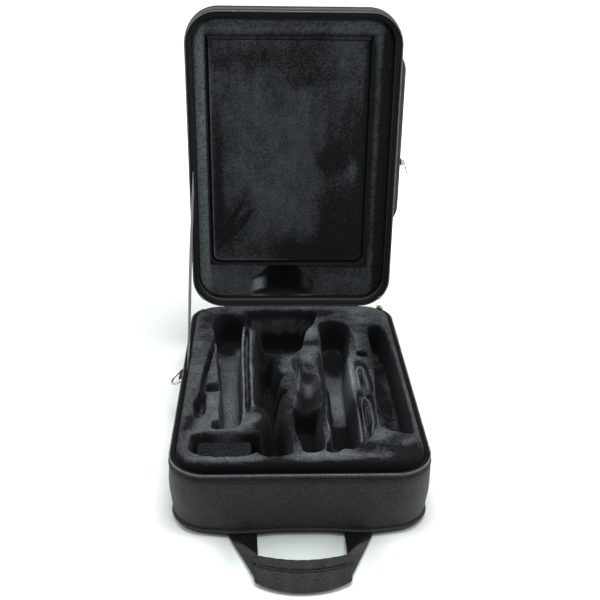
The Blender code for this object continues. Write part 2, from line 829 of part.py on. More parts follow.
def band_mesh(name, rows, thickness):
    """A flat band through rows of centres, half widths and, where they are set, normals."""
    rings = []
    for i, (centre, half, facing) in enumerate(rows):
        before = rows[max(i - 1, 0)][0]
        after = rows[min(i + 1, len(rows) - 1)][0]
        normal = (facing or (after - before).cross(half).normalized()) * thickness / 2
        rings.append([centre - half - normal, centre + half - normal,
                      centre + half + normal, centre - half + normal])
    return loft_mesh(name, rings)


def handle():
    """The sleeve is hollow, so the strap passes right through it."""
    strap = band_mesh("handle_webbing", webbing_rows(), strap_thickness)
    link("handle_webbing", strap, webbing, handle_axis)

    def sleeve(name, extra, ends, finish):
        flat, deep = grip_squareness
        rings = []
        for i in range(9):
            centre, across, width = grip_row(ends * (-1 + i / 4))
            normal = Vector((1, 0, 0)).cross(across)
            half = width / 2 - extra
            thick = grip_thickness / 2 - extra
            ring = []
            for j in range(12):
                a = 2 * math.pi * j / 12
                x = math.copysign(abs(math.cos(a)) ** flat, math.cos(a)) * half
                y = math.copysign(abs(math.sin(a)) ** deep, math.sin(a)) * thick
                ring.append(centre + across * x + normal * y)
            rings.append(ring)
        mesh = loft_mesh(name, rings)
        mesh.shade_smooth()
        return link(name, mesh, finish, handle_axis)

    grip = sleeve("handle_grip", 0, 1, webbing)
    cut(grip, sleeve("grip_bore", grip_wall, grip_bore_share, None))


handle()


# Stay ribbon: sewn to the rims of both shells on the left, taut while the lid stands open
def stay_ribbon():
    """A flat ribbon on edge beside the tray, cut square to each rim."""
    x = -case_width / 2 + ribbon_inset
    foot_y = case_length / 2 - stay_reach_forward
    foot_z = base_depth - shell_rim_drop + part_gap
    head_y = case_length / 2 + hinge_drop + shell_rim_drop - part_gap
    head_z = hinge_height + stay_reach_up
    spread = ribbon_width / 2 * math.sqrt(2)
    outline = [(foot_y - spread, foot_z), (foot_y + spread, foot_z),
               (head_y, head_z - spread), (head_y, head_z + spread)]
    mesh = plate_mesh("stay_ribbon", [outline], -ribbon_thickness / 2, ribbon_thickness / 2)
    mesh.transform(Matrix(((0, 0, 1, x), (1, 0, 0, 0), (0, 1, 0, 0), (0, 0, 0, 1))))
    link("stay_ribbon", mesh, ribbon)


stay_ribbon()


def shoulder_ring():
    """A D-ring, its straight bar in the fold of a webbing tab sewn to the base's left wall."""
    bore = ring_wire_radius + part_gap
    fold = bore + ring_tab_thickness
    place = (-case_width / 2 - part_gap - fold, ring_place, ring_height)
    axis = bpy.data.objects.new("d_ring_axis", None)
    axis.location = place
    parts.objects.link(axis)
    bow = arc((0, 0), 1, math.pi / 2, 3 * math.pi / 2, 10)
    points = [(x * ring_reach, y * ring_span / 2, 0) for x, y in bow]
    mesh = tube_mesh("d_ring", points, ring_wire_radius, closed=True, resolution=2)
    mesh.transform(Matrix.Rotation(-ring_droop, 4, "Y"))
    link("d_ring", mesh, metal, axis)

    tail = fold - 2 * ring_tab_thickness
    outline = arc((0, 0), fold, 0, math.pi, 8)
    outline += [(-fold, 0), (tail, -fold), (tail, -ring_tab_length), (fold, -ring_tab_length)]
    hole = arc((0, 0), bore, 0, 2 * math.pi - math.pi / 5, 9)
    tab = plate_mesh("d_ring_tab", [outline, hole], -ring_tab_width / 2, ring_tab_width / 2)
    tab.transform(Matrix.Rotation(math.pi / 2, 4, "X"))
    link("d_ring_tab", tab, webbing, None, place)


shoulder_ring()
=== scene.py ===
# Zip-up clarinet case, dressed for rendering. Metres, +Z up, hinge at +Y, handle at -Y.
import json
import math
from functools import partial
import bmesh
import bpy
import numpy as np
from mathutils import Matrix, Vector


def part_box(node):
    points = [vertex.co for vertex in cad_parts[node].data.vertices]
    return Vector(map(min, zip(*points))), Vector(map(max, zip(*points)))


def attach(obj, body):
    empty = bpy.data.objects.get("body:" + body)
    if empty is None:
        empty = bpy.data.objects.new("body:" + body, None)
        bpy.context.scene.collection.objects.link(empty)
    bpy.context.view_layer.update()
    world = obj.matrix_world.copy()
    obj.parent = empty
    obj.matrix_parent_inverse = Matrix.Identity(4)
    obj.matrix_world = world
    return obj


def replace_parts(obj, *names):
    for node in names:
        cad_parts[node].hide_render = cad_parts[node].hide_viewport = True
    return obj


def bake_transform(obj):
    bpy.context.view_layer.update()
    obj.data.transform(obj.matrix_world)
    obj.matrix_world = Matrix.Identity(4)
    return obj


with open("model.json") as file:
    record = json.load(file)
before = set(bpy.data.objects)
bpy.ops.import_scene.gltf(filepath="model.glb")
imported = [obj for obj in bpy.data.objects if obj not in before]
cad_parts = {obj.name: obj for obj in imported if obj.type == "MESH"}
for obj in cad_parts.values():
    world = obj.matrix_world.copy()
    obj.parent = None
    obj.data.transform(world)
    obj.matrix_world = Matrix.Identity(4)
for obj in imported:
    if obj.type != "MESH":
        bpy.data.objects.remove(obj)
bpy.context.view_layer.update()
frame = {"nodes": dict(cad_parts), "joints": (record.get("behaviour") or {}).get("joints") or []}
nodes = frame["nodes"]
print("frame loaded:", len(nodes), "nodes")

case = {
    "halfWidth": 0.125, "halfLength": 0.183, "corner": 0.038,
    "baseDepth": 0.0695, "lidDepth": 0.037, "hingeDrop": 0.004,
    "zipperEnd": math.radians(50),  # how far the zipper runs round each hinge corner
}
hingeHeight = case["baseDepth"] - case["hingeDrop"]
lidFace = case["halfLength"] + case["hingeDrop"]  # world y of the open lid's parting plane


def smoothStep(low, high, x):
    # 0 below low, 1 above high, 3t^2 - 2t^3 between
    t = np.clip((x - low) / (high - low), 0, 1)
    return t * t * (3 - 2 * t)


def corners(index):
    # the four corner numbers of each cell of a grid of numbers
    return np.stack([index[:-1, :-1], index[1:, :-1], index[1:, 1:], index[:-1, 1:]],
                    -1).reshape(-1, 4)


def meshFrom(name, points, faces, loopUv=None, napAndPaintedLight=None):
    # a mesh from whole arrays; faces is cells x corners; the last array is how light the pile lies
    # there, with painted highlight and painted shade
    mesh = bpy.data.meshes.new(name)
    mesh.vertices.add(len(points))
    mesh.vertices.foreach_set("co", np.ascontiguousarray(points, np.float32).ravel())
    count, sides = faces.shape
    mesh.loops.add(count * sides)
    mesh.loops.foreach_set("vertex_index", np.ascontiguousarray(faces, np.int32).ravel())
    mesh.polygons.add(count)
    mesh.polygons.foreach_set("loop_start", np.arange(0, count * sides, sides, dtype=np.int32))
    mesh.update(calc_edges=True)
    if loopUv is not None:
        layer = mesh.uv_layers.new(name="cloth")
        layer.data.foreach_set("uv", np.ascontiguousarray(loopUv, np.float32).ravel())
    if napAndPaintedLight is not None:
        layer = mesh.attributes.new("napAndPaintedLight", "FLOAT", "POINT")
        layer.data.foreach_set("value", np.ascontiguousarray(napAndPaintedLight, np.float32).ravel())
    mesh.validate()
    return mesh


def surface(name, grid, uv=None, wrapRows=False, wrapCols=False, closed=True, napAndPaintedLight=None):
    # a quad surface through a rows x columns x 3 grid; uv has one more row or column where it wraps
    rows, cols = grid.shape[:2]
    index = np.arange(rows * cols).reshape(rows, cols)
    if wrapRows:
        index = np.concatenate([index, index[:1]], 0)
    if wrapCols:
        index = np.concatenate([index, index[:, :1]], 1)
    loopUv = None
    if uv is not None:
        place = np.arange(uv.shape[0] * uv.shape[1]).reshape(uv.shape[:2])
        loopUv = uv.reshape(-1, 2)[corners(place)]
    mesh = meshFrom(name, grid.reshape(-1, 3), corners(index), loopUv, napAndPaintedLight)
    return finishMesh(name, mesh, closed)


def finishMesh(name, mesh, closed=True, merge=True):
    # merges doubled points, turns faces outwards, shades smooth
    work = bmesh.new()
    work.from_mesh(mesh)
    if merge:
        bmesh.ops.remove_doubles(work, verts=work.verts, dist=0.00001)
        bmesh.ops.dissolve_degenerate(work, edges=work.edges, dist=0.000005)
    if closed:
        bmesh.ops.recalc_face_normals(work, faces=work.faces)
    work.to_mesh(mesh)
    work.free()
    mesh.polygons.foreach_set("use_smooth", np.full(len(mesh.polygons), True))
    piece = bpy.data.objects.new(name, mesh)
    bpy.context.scene.collection.objects.link(piece)
    return piece


def faceTowards(piece, direction):
    # an open surface can't tell its outside: its faces are turned to look along a direction
    faces = piece.data.polygons
    if sum(face.normal.dot(Vector(direction)) * face.area for face in faces) < 0:
        piece.data.flip_normals()


def dress(piece, body, material, slotName, *replaced):
    # gives a piece its material, the body it rides on and the CAD nodes it stands for
    piece.data.materials.append(material)
    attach(piece, body)
    if replaced:
        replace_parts(piece, *replaced)
    return piece


def roundedRun(halfX, halfY, radius, count, start=0.0, end=1.0):
    # points, outward normals and lengths along a rounded rectangle, anticlockwise from the
    # middle of its +Y side; start and end are shares of the whole way round
    step = np.linspace(0, 1, 4001)
    turn = np.pi / 2
    straightX, straightY = halfX - radius, halfY - radius
    bend = radius * turn
    lengths = [straightX, bend, 2 * straightY, bend, 2 * straightX, bend, 2 * straightY, bend,
               straightX]
    ends = np.concatenate([[0], np.cumsum(lengths)])
    s = step * ends[-1]
    part = np.clip(np.searchsorted(ends, s, "right") - 1, 0, 8)
    along = s - ends[part]
    angle = (part // 2 + 1) * turn + np.where(part % 2 == 1, along / radius, 0)
    centreX = np.array([0, -1, -1, -1, -1, 1, 1, 1, 1])[part] * straightX
    centreY = np.array([1, 1, 1, -1, -1, -1, -1, 1, 1])[part] * straightY
    slide = np.where(part % 2 == 0, along, 0)
    x = centreX + radius * np.cos(angle)
    y = centreY + radius * np.sin(angle)
    dirX, dirY = -np.sin(angle), np.cos(angle)
    x = np.where(part == 0, 0, x) + slide * dirX
    y = y + slide * dirY
    want = np.linspace(start, end, count) * ends[-1]
    px, py = np.interp(want, s, x), np.interp(want, s, y)
    nx, ny = np.interp(want, s, np.cos(angle)), np.interp(want, s, np.sin(angle))
    size = np.hypot(nx, ny)
    return np.stack([px, py], -1), np.stack([nx / size, ny / size], -1), want


def caseRun(count, start=0.0, end=1.0):
    return roundedRun(case["halfWidth"], case["halfLength"], case["corner"], count, start, end)


def zipperShares():
    # where the zipper starts and ends, as shares of the way round from the middle of the hinge
    quarter = case["corner"] * np.pi / 2
    side = case["halfWidth"] - case["corner"]
    whole = 4 * side + 4 * (case["halfLength"] - case["corner"]) + 4 * quarter
    skip = side + case["corner"] * (np.pi / 2 - case["zipperEnd"])
    return skip / whole, 1 - skip / whole


def placeHalf(half, points):
    # (x, y, height over the parting plane) to the world; the lid stands upright on its hinge
    x, y, h = points[..., 0], points[..., 1], points[..., 2]
    if half == "base":
        return np.stack([x, y, case["baseDepth"] + h], -1)
    return np.stack([x, lidFace - h, hingeHeight + case["halfLength"] - y], -1)


def lidPoint(x, y, depth):
    # the lid's own x, y up from its middle and depth behind the parting plane, to the world
    return np.stack(np.broadcast_arrays(x, lidFace + depth,
                                        hingeHeight + case["halfLength"] + y), -1)


def sweep(run, normals, profile):
    # carries a profile of (outward, height) pairs along a flat run: rows follow the run
    profile = np.broadcast_to(profile, (len(run), *profile.shape[-2:]))
    xy = run[:, None] + normals[:, None] * profile[..., :1]
    return np.concatenate([xy, profile[..., 1:]], -1)


def profileLength(profile):
    steps = np.hypot(*np.diff(np.vstack([profile, profile[:1]]), axis=0).T)
    return np.concatenate([[0], np.cumsum(steps)])


def clothUv(along, around):
    # cloth lengths in metres for a grid: one set down its rows, one across its columns
    return np.stack(np.broadcast_arrays(along[:, None], around[None]), -1)


def capped(grid):
    # closes the two ends of a swept grid, each at the middle of its end row
    first, last = grid[:1], grid[-1:]
    return np.concatenate([first.mean(1, keepdims=True) + 0 * first, grid,
                           last.mean(1, keepdims=True) + 0 * last], 0)


def drawnIn(dx, dy, radius):
    # dx and dy are how far a point lies past a round corner's centre lines; past both, squares
    # of the grid are drawn in to circles. Also gives how far each point lies inside the edge
    corner = (dx > 0) & (dy > 0)
    pull = np.where(corner, np.maximum(dx, dy) / np.maximum(np.hypot(dx, dy), 1e-9), 1)
    dx, dy = dx * pull, dy * pull
    return dx, dy, radius - np.where(corner, np.hypot(dx, dy), np.maximum(dx, dy))


def perimeter(grid):
    # the outer edge of a grid, once round
    return np.concatenate([grid[:-1, 0], grid[-1, :-1], grid[:0:-1, -1], grid[0, :0:-1]])


def tube(name, path, radius, sides=12, wrap=False):
    # a round section carried along a path with frames that don't twist
    forward = np.roll(path, -1, 0) - np.roll(path, 1, 0) if wrap else np.gradient(path, axis=0)
    forward /= np.linalg.norm(forward, axis=1)[:, None]
    up = np.zeros_like(path)
    last = np.array([0.0, 0.0, 1.0]) if abs(forward[0, 2]) < 0.9 else np.array([1.0, 0, 0])
    for i in range(len(path)):
        last = last - forward[i] * np.dot(last, forward[i])
        last /= np.linalg.norm(last)
        up[i] = last
    side = np.cross(forward, up)
    a = np.linspace(0, 2 * np.pi, sides, endpoint=False)[None, :, None]
    grid = path[:, None] + (side[:, None] * np.cos(a) + up[:, None] * np.sin(a)) * radius
    grid = grid if wrap else capped(grid)
    line = np.concatenate([grid[:, 0], grid[:1, 0]]) if wrap else grid[:, 0]
    along = np.concatenate([[0], np.cumsum(np.linalg.norm(np.diff(line, axis=0), axis=1))])
    around = np.arange(sides + 1) / sides * 2 * np.pi * radius
    return surface(name, grid, clothUv(along, around), wrapRows=wrap, wrapCols=True)


def scatter(name, shape, faces, places, axisX, axisY, axisZ):
    # copies one small shape to many places, each with its own three axes
    points = (places[:, None] + axisX[:, None] * shape[None, :, :1]
              + axisY[:, None] * shape[None, :, 1:2] + axisZ[:, None] * shape[None, :, 2:3])
    shift = np.arange(len(places))[:, None, None] * len(shape)
    mesh = meshFrom(name, points.reshape(-1, 3), (faces[None] + shift).reshape(-1, faces.shape[1]))
    return finishMesh(name, mesh, merge=False)


def bead(length, width, height, rings=5, sides=6):
    # a small elongated ellipsoid along X, as quads, for stitches and teeth
    t = np.linspace(0, np.pi, rings)
    a = np.linspace(0, 2 * np.pi, sides, endpoint=False)
    x = -np.cos(t) * length / 2
    r = np.sin(t) ** 0.6
    r[0] = r[-1] = 0.05
    grid = np.stack([np.broadcast_to(x[:, None], (rings, sides)),
                     r[:, None] * np.cos(a) * width / 2, r[:, None] * np.sin(a) * height / 2], -1)
    index = np.arange(rings * sides).reshape(rings, sides)
    index = np.concatenate([index, index[:, :1]], 1)
    return grid.reshape(-1, 3), corners(index)


def block(x, y, z, edge=0.3):
    # a box with bevelled long edges: an eight-sided section, two ends drawn in
    k = 1 - edge
    ring = np.array([(-k, -1), (k, -1), (1, -k), (1, k), (k, 1), (-k, 1), (-1, k), (-1, -k)])
    rows = [np.column_stack([np.full(8, px), ring * shrink]) for px, shrink in
            ((-1, 0.05), (-1, 0.8), (-0.8, 1), (0.8, 1), (1, 0.8), (1, 0.05))]
    index = np.arange(48).reshape(6, 8)
    index = np.concatenate([index, index[:, :1]], 1)
    return np.concatenate(rows) * [x / 2, y / 2, z / 2], corners(index)


def newTree(name):
    material = bpy.data.materials.new(name)
    material.use_nodes = True
    tree = material.node_tree
    return material, tree, tree.nodes["Principled BSDF"]


def feed(tree, node, values):
    # sets a node's inputs by number or name; a value that is a socket is linked
    for key, value in values.items():
        if isinstance(value, bpy.types.NodeSocket):
            tree.links.new(value, node.inputs[key])
        else:
            node.inputs[key].default_value = value
    return node


def add(tree, kind, values=None, **settings):
    node = tree.nodes.new("ShaderNode" + kind)
    for key, value in settings.items():
        setattr(node, key, value)
    return feed(tree, node, values or {})


def maths(tree, operation, a, b=0.0, c=0.0):
    return add(tree, "Math", {0: a, 1: b, 2: c}, operation=operation).outputs[0]


def tint(tree, factor, low, high):
    # blends two colours by a factor; a factor over 1 goes on past the second
    mix = add(tree, "Mix", {0: factor, 6: (*low, 1), 7: (*high, 1)}, data_type="RGBA",
              clamp_factor=False)
    return mix.outputs[2]


def noise(tree, vector, scale, detail=3.0, roughness=0.5, distortion=0.0):
    node = add(tree, "TexNoise", {"Vector": vector, "Scale": scale, "Detail": detail,
                                  "Roughness": roughness, "Distortion": distortion})
    return node.outputs[0]


def spread(tree, value, low=0.0, high=1.0, toLow=0.0, toHigh=1.0, kind="LINEAR"):
    # low to high becomes toLow to toHigh, held at both ends
    return add(tree, "MapRange", {0: value, 1: low, 2: high, 3: toLow, 4: toHigh},
               interpolation_type=kind).outputs[0]


def relief(tree, height, strength, distance):
    return add(tree, "Bump", {"Height": height, "Strength": strength,
                              "Distance": distance}).outputs[0]


def napAndPaintedLightOf(tree):
    return add(tree, "Attribute", attribute_name="napAndPaintedLight").outputs["Fac"]


def velvet(name, dark, light, sheen, facing, stretch=(1, 1, 1), patch=16.0, shadeOnSlopes=0.12,
           span=(0.07, 0.42), rough=0.60, sparkle=0.28):
    # plush pile: broad patches where the pile lies over, fine strokes, bright fibre ends; painted
    # shade on slopes that turn away from the facing direction; the attribute adds lighter and
    # darker pile, painted highlight and painted shade
    material, tree, shader = newTree(name)
    calc = partial(maths, tree)
    coords = add(tree, "TexCoord").outputs
    lay = add(tree, "Mapping", {"Vector": coords["Object"], "Scale": stretch}).outputs[0]
    patches = noise(tree, lay, patch, 4.0, 0.55, 0.6)
    brushed = noise(tree, lay, patch * 6, 3.0, 0.6, 0.3)
    grain = noise(tree, coords["Object"], 430.0, 2.5, 0.6)
    fibre = noise(tree, coords["Object"], 700.0, 1.0, 0.5)
    napAndPaintedLight = napAndPaintedLightOf(tree)
    pile = calc("ADD", calc("MULTIPLY", patches, 0.6), calc("MULTIPLY", brushed, 0.4))
    pile = spread(tree, pile, 0.34, 0.66, *span)
    pile = calc("MULTIPLY_ADD", calc("SUBTRACT", grain, 0.5), rough, pile)
    pile = calc("ADD", pile, calc("MINIMUM", napAndPaintedLight, 0.0))
    # painted shade: the colour darkens where the surface turns away from the facing direction
    turned = add(tree, "VectorMath", {0: coords["Normal"], 1: facing}, operation="DOT_PRODUCT")
    slopeShade = spread(tree, turned.outputs["Value"], 0.30, 0.98, shadeOnSlopes, 1.0, "SMOOTHSTEP")
    pile = calc("MULTIPLY", calc("MAXIMUM", pile, 0.0), slopeShade)
    speckShare = calc("MAXIMUM", calc("MULTIPLY_ADD", napAndPaintedLight, 1.4, 1.0), 0.0)
    speck = calc("MULTIPLY", spread(tree, fibre, 0.58, 0.78), slopeShade)
    speck = calc("MULTIPLY", speck, calc("MINIMUM", speckShare, 1.0))
    pile = calc("MULTIPLY_ADD", speck, sparkle, pile)
    # painted highlight where the attribute is above 0, on top of lighter pile
    raisedAndLit = calc("MULTIPLY", calc("MAXIMUM", napAndPaintedLight, 0.0), spread(tree, grain, 0.10, 0.60))
    pile = calc("MINIMUM", calc("ADD", pile, raisedAndLit), 1.8)
    height = calc("ADD", calc("MULTIPLY", fibre, 0.5), calc("MULTIPLY", grain, 0.8))
    feed(tree, shader, {"Base Color": tint(tree, pile, dark, light), "Roughness": 0.95,
                        "Specular IOR Level": 0.1, "Sheen Weight": sheen,
                        "Sheen Roughness": 0.35, "Sheen Tint": (0.78, 0.86, 0.92, 1),
                        "Normal": relief(tree, height, 0.6, 0.0009)})
    return material


def woven(name, dark, light, pitch, roughness, sheen, ribs=0.0, depth=0.0004, mottle=0.12,
          gloss=0.10, slub=2.6):
    # plain weave from the piece's own UVs in metres: over and under as a product of two waves
    material, tree, shader = newTree(name)
    calc = partial(maths, tree)
    cloth = add(tree, "SeparateXYZ", {0: add(tree, "UVMap", uv_map="cloth").outputs[0]}).outputs
    place = add(tree, "TexCoord").outputs["Object"]
    wobble = calc("MULTIPLY", noise(tree, place, 160.0, 2.0), 1.6)
    waves = [calc("SINE", calc("MULTIPLY_ADD", cloth[k], 2 * math.pi / step, wobble))
             for k, step in enumerate((pitch, pitch * (1 + ribs)))]
    weave = calc("MULTIPLY_ADD", calc("MULTIPLY", *waves), 0.5, 0.5)
    yarn = noise(tree, place, 900.0, 2.0, 0.7)
    mixed = calc("MULTIPLY_ADD", calc("SUBTRACT", weave, 0.5), 0.45, 0.45)
    for part, share in ((yarn, slub), (noise(tree, place, 22.0, 4.0, 0.6), mottle * 4)):
        mixed = calc("MULTIPLY_ADD", calc("SUBTRACT", part, 0.5), share, mixed)
    # the attribute adds painted shade and painted highlight where a piece has it, as on the handle
    mixed = calc("MINIMUM", calc("MAXIMUM", calc("ADD", mixed, napAndPaintedLightOf(tree)), 0.0), 1.0)
    feed(tree, shader, {
        "Base Color": tint(tree, mixed, dark, light), "Specular IOR Level": gloss,
        "Roughness": spread(tree, weave, 0.0, 1.0, roughness - 0.08, roughness + 0.08),
        "Sheen Weight": sheen, "Sheen Roughness": 0.45,
        "Normal": relief(tree, calc("MULTIPLY_ADD", yarn, 1.2, weave), 0.7, depth)})
    return material


def moulded(name, dark, light, roughness, metallic=0.0, scale=300.0):
    # plastic or plated metal with fine wear in its colour and gloss
    material, tree, shader = newTree(name)
    wear = noise(tree, add(tree, "TexCoord").outputs["Object"], scale, 4.0, 0.65)
    feed(tree, shader, {
        "Base Color": tint(tree, spread(tree, wear, 0.35, 0.7), dark, light),
        "Roughness": spread(tree, wear, 0.0, 1.0, roughness - 0.07, roughness + 0.12),
        "Metallic": metallic, "Normal": relief(tree, wear, 0.25, 0.0002)})
    return material


trayVelvet = velvet("trayVelvet", (0.0025, 0.003, 0.0035), (0.150, 0.170, 0.186), 0.02,
                    (0, 0, 1), shadeOnSlopes=0.04, rough=0.52)
lidVelvet = velvet("lidVelvet", (0.004, 0.0045, 0.005), (0.165, 0.190, 0.205), 0.05, (0, -1, 0),
                   stretch=(1.0, 1.0, 0.55), patch=13.0, shadeOnSlopes=0.08, span=(0.02, 0.20),
                   rough=0.36, sparkle=0.13)
padVelvet = velvet("padVelvet", (0.002, 0.0025, 0.0025), (0.021, 0.028, 0.028), 0.0, (0, 0, 1),
                   span=(0.05, 0.35), rough=1.6, sparkle=0.6)
blackNylon = woven("blackNylon", (0.0015, 0.0015, 0.002), (0.044, 0.045, 0.050), 0.0011, 0.50,
                   0.06, gloss=0.17)
bindingCloth = woven("bindingCloth", (0.002, 0.002, 0.002), (0.010, 0.010, 0.011), 0.0011, 0.75,
                     0.0)
tapeCloth = woven("tapeCloth", (0.003, 0.003, 0.0035), (0.021, 0.022, 0.024), 0.0009, 0.6, 0.04,
                  ribs=1.2)
handleCloth = woven("handleCloth", (0.0012, 0.0012, 0.0015), (0.068, 0.068, 0.075), 0.0013,
                    0.65, 0.01, mottle=0.06, gloss=0.05, slub=1.3)
ribbonCloth = woven("ribbonCloth", (0.10, 0.097, 0.095), (0.24, 0.235, 0.23), 0.0008, 0.5, 0.2,
                    ribs=-0.2, depth=0.0002)
threadBlack = moulded("threadBlack", (0.001, 0.001, 0.001), (0.006, 0.006, 0.006), 0.6)
toothPlastic = moulded("toothPlastic", (0.030, 0.030, 0.030), (0.11, 0.107, 0.10), 0.32)
cordPlastic = moulded("cordPlastic", (0.035, 0.034, 0.032), (0.13, 0.127, 0.12), 0.35)
nickelPlate = moulded("nickelPlate", (0.30, 0.28, 0.25), (0.55, 0.53, 0.49), 0.27, 1.0)
bronzePlate = moulded("bronzePlate", (0.13, 0.10, 0.075), (0.38, 0.33, 0.27), 0.30, 1.0)
foamBoard = moulded("foamBoard", (0.006, 0.006, 0.006), (0.020, 0.020, 0.021), 0.85)
hookPile = moulded("hookPile", (0.004, 0.004, 0.004), (0.020, 0.020, 0.021), 0.9, scale=900.0)
print("materials made")

skin = {
    "turnUp": 0.0042,     # height of the panel's turned-up edge
    "rounding": 0.0036,   # radius of that turn
    "piping": 0.0016,     # radius of the welt
    "bulge": 0.0011,      # how far the padded wall stands out between its seams
    "wall": 0.0013,       # thickness of the nylon
    "seamDip": 0.0006,    # how far it draws in at a seam
    "seamReach": 0.06,    # share of the wall's height that this takes
    "bandLow": 0.0078, "bandHigh": -0.0083,  # its ends over foot and parting plane
    "weltRise": 0.0060, "foamWall": 0.0050,
}


def footShift(half, run, normals, height):
    # how far the base's wall stands out near its foot: drawn in all round, but pushed forward
    # beside the handle's two roots, a squared sine of the distance from the middle
    if half == "lid":
        return np.zeros((len(run), len(height)))
    side = np.clip((np.abs(run[:, 0]) - 0.018) / 0.078, 0, 1)
    push = 0.0042 * np.sin(np.pi * side) ** 2 * smoothStep(0.6, 1.0, -normals[:, 1])
    shift = push - 0.0021
    return shift[:, None] * smoothStep(0.026, 0.064, -height)[None]


def wallRipple(s, height):
    # slow ripples of a sewn wall: longer along the case than up it
    return (0.00022 * np.sin(2 * np.pi * s / 0.083 + 1.3 * np.sin(height / 0.009))
            + 0.00014 * np.sin(2 * np.pi * s / 0.031 + height / 0.006))


def closedRun(count):
    # once round the case without the doubled last point; the lengths keep theirs
    run, normals, s = caseRun(count)
    return run[:-1], normals[:-1], s


def strip(half, name, grid, along, profile, material, slotName, *replaced, wrapRows=False):
    # a swept band of one half; its cloth is measured along the run and round its profile
    piece = surface(half + name, placeHalf(half, grid), clothUv(along, profileLength(profile)),
                    wrapRows=wrapRows, wrapCols=True)
    dress(piece, half, material, slotName, *replaced)


def sideBand(half, depth):
    low, high = -depth + skin["bandLow"], skin["bandHigh"]
    run, normals, s = closedRun(421)
    t = np.linspace(0, 1, 27)
    height = low + (high - low) * t
    puff = skin["bulge"] * np.sin(np.pi * t) ** 0.6
    dip = np.exp(-(t / skin["seamReach"]) ** 2) + np.exp(-((1 - t) / skin["seamReach"]) ** 2)
    ripple = wallRipple(s[:-1, None], height[None]) * np.sin(np.pi * t)
    shift = footShift(half, run, normals, height)
    outward = np.concatenate([puff - skin["seamDip"] * dip + ripple + shift,
                              (shift - skin["wall"])[:, ::-1]], 1)
    heights = np.broadcast_to(np.concatenate([height, height[::-1]]), outward.shape)
    grid = placeHalf(half, sweep(run, normals, np.stack([outward, heights], -1)))
    rise = np.concatenate([height, height[::-1], height[:1]])
    piece = surface(half + "SideBand", grid, clothUv(s, rise), wrapRows=True, wrapCols=True)
    dress(piece, half, blackNylon, "black_nylon", half + "_side_cover")


def flatPanel(half, depth, replaced):
    # a pan: flat middle, round turn, short upright edge; its inside lies one skin further in
    run, normals, _ = closedRun(361)
    r = skin["rounding"]
    turn = np.linspace(0, np.pi / 2, 7)
    outer = [(-r + r * math.sin(a), -depth + r - r * math.cos(a)) for a in turn]
    outer += [(0.0, -depth + skin["turnUp"] * 0.97), (-0.0004, -depth + skin["turnUp"] + 0.0006)]
    run = run + normals * footShift(half, run, normals, np.array([-depth]))
    edge = sweep(run, normals, np.array(outer))
    rings = floorOf(run - normals * r, -depth, [0.0, 0.12, 0.3, 0.5, 0.68, 0.82, 0.91, 0.965])
    outside = np.concatenate([rings, edge], 1)
    inside = outside[:, ::-1].copy()
    inside[..., :2] *= 1 - skin["wall"] / case["halfLength"]
    inside[..., 2] = np.maximum(inside[..., 2], -depth + skin["wall"])
    grid = np.concatenate([outside, inside], 1)
    uv = np.concatenate([grid[..., :2], grid[:1, :, :2]], 0)
    piece = surface(half + "Panel", placeHalf(half, grid), uv, wrapRows=True)
    dress(piece, half, blackNylon, "black_nylon", replaced)


def floorOf(start, height, shares):
    # flat rings drawn in from a run towards the middle of the case
    rings = start[:, None, :2] * np.array(shares)[None, :, None]
    return np.concatenate([rings, np.full((*rings.shape[:2], 1), height)], -1)


def welt(half, depth):
    run, normals, s = closedRun(361)
    foot = -depth + skin["weltRise"]
    height = foot + 0.00012 * np.sin(2 * np.pi * s[:-1] / 0.047)
    shift = footShift(half, run, normals, np.array([foot])) + 0.0002
    path = placeHalf(half, np.concatenate([run + normals * shift, height[:, None]], -1))
    piece = tube(half + "Piping", path, skin["piping"], sides=10, wrap=True)
    dress(piece, half, blackNylon, "black_nylon", half + "_piping")


zipper = {
    "tapeLow": -0.0082, "tapeHigh": -0.0020, "tapeThick": 0.0011, "tuck": 0.0013,
    "toothPitch": 0.0026, "toothLength": 0.0030, "toothWidth": 0.0015, "toothHeight": 0.0015,
    "stitchPitch": 0.0034, "stitchLength": 0.0026, "stitchWidth": 0.0007,
    "cord": 0.00055, "cordIn": 0.0004, "cordDrop": 0.0006, "overlap": 0.0016,
}
zipStart, zipEnd = zipperShares()


def zipperTape(half):
    run, normals, s = caseRun(341, zipStart, zipEnd)
    low, high = zipper["tapeLow"], zipper["tapeHigh"]
    outer = np.array([(-0.0006, low - 0.0004), (0.0005, low), (0.0007, low + 0.0011),
                      (0.0001, low + 0.0019), (0.0002, low + 0.0032), (-0.0001, high - 0.0012),
                      (-0.0003, high)])
    profile = np.concatenate([outer, outer[::-1] - [zipper["tapeThick"], 0]])
    # both ends of the tape are tucked in over 12 mm
    tuck = -zipper["tuck"] * (1 - smoothStep(0, 0.012, np.minimum(s - s[0], s[-1] - s)))
    varied = profile[None] + np.stack([tuck, 0 * tuck], -1)[:, None]
    grid = capped(sweep(run, normals, varied))
    along = np.concatenate([s[:1], s, s[-1:]])
    strip(half, "ZipperTape", grid, along, profile, tapeCloth, "zipper_tape",
          half + "_zipper_tape")


def alongRun(half, pitch, start, end, outward, height, follow=False):
    # places along the case's edge and, for each, the directions along, out and up
    count = int((end - start) * caseRun(2)[2][-1] / pitch)
    if not follow:
        start, end = start + 0.001, end - 0.001
    run, normals, _ = caseRun(count, start, end)
    if follow:
        run = run + normals * footShift(half, run, normals, np.array([height]))
    flat = np.concatenate([run + normals * outward, np.full((count, 1), height)], -1)
    ahead = np.stack([-normals[:, 1], normals[:, 0], np.zeros(count)], -1)
    outwards = np.concatenate([normals, np.zeros((count, 1))], -1)
    up = np.broadcast_to([0.0, 0, 1], outwards.shape)
    origin = placeHalf(half, np.zeros(3))
    return placeHalf(half, flat), *(placeHalf(half, v) - origin for v in (ahead, outwards, up))


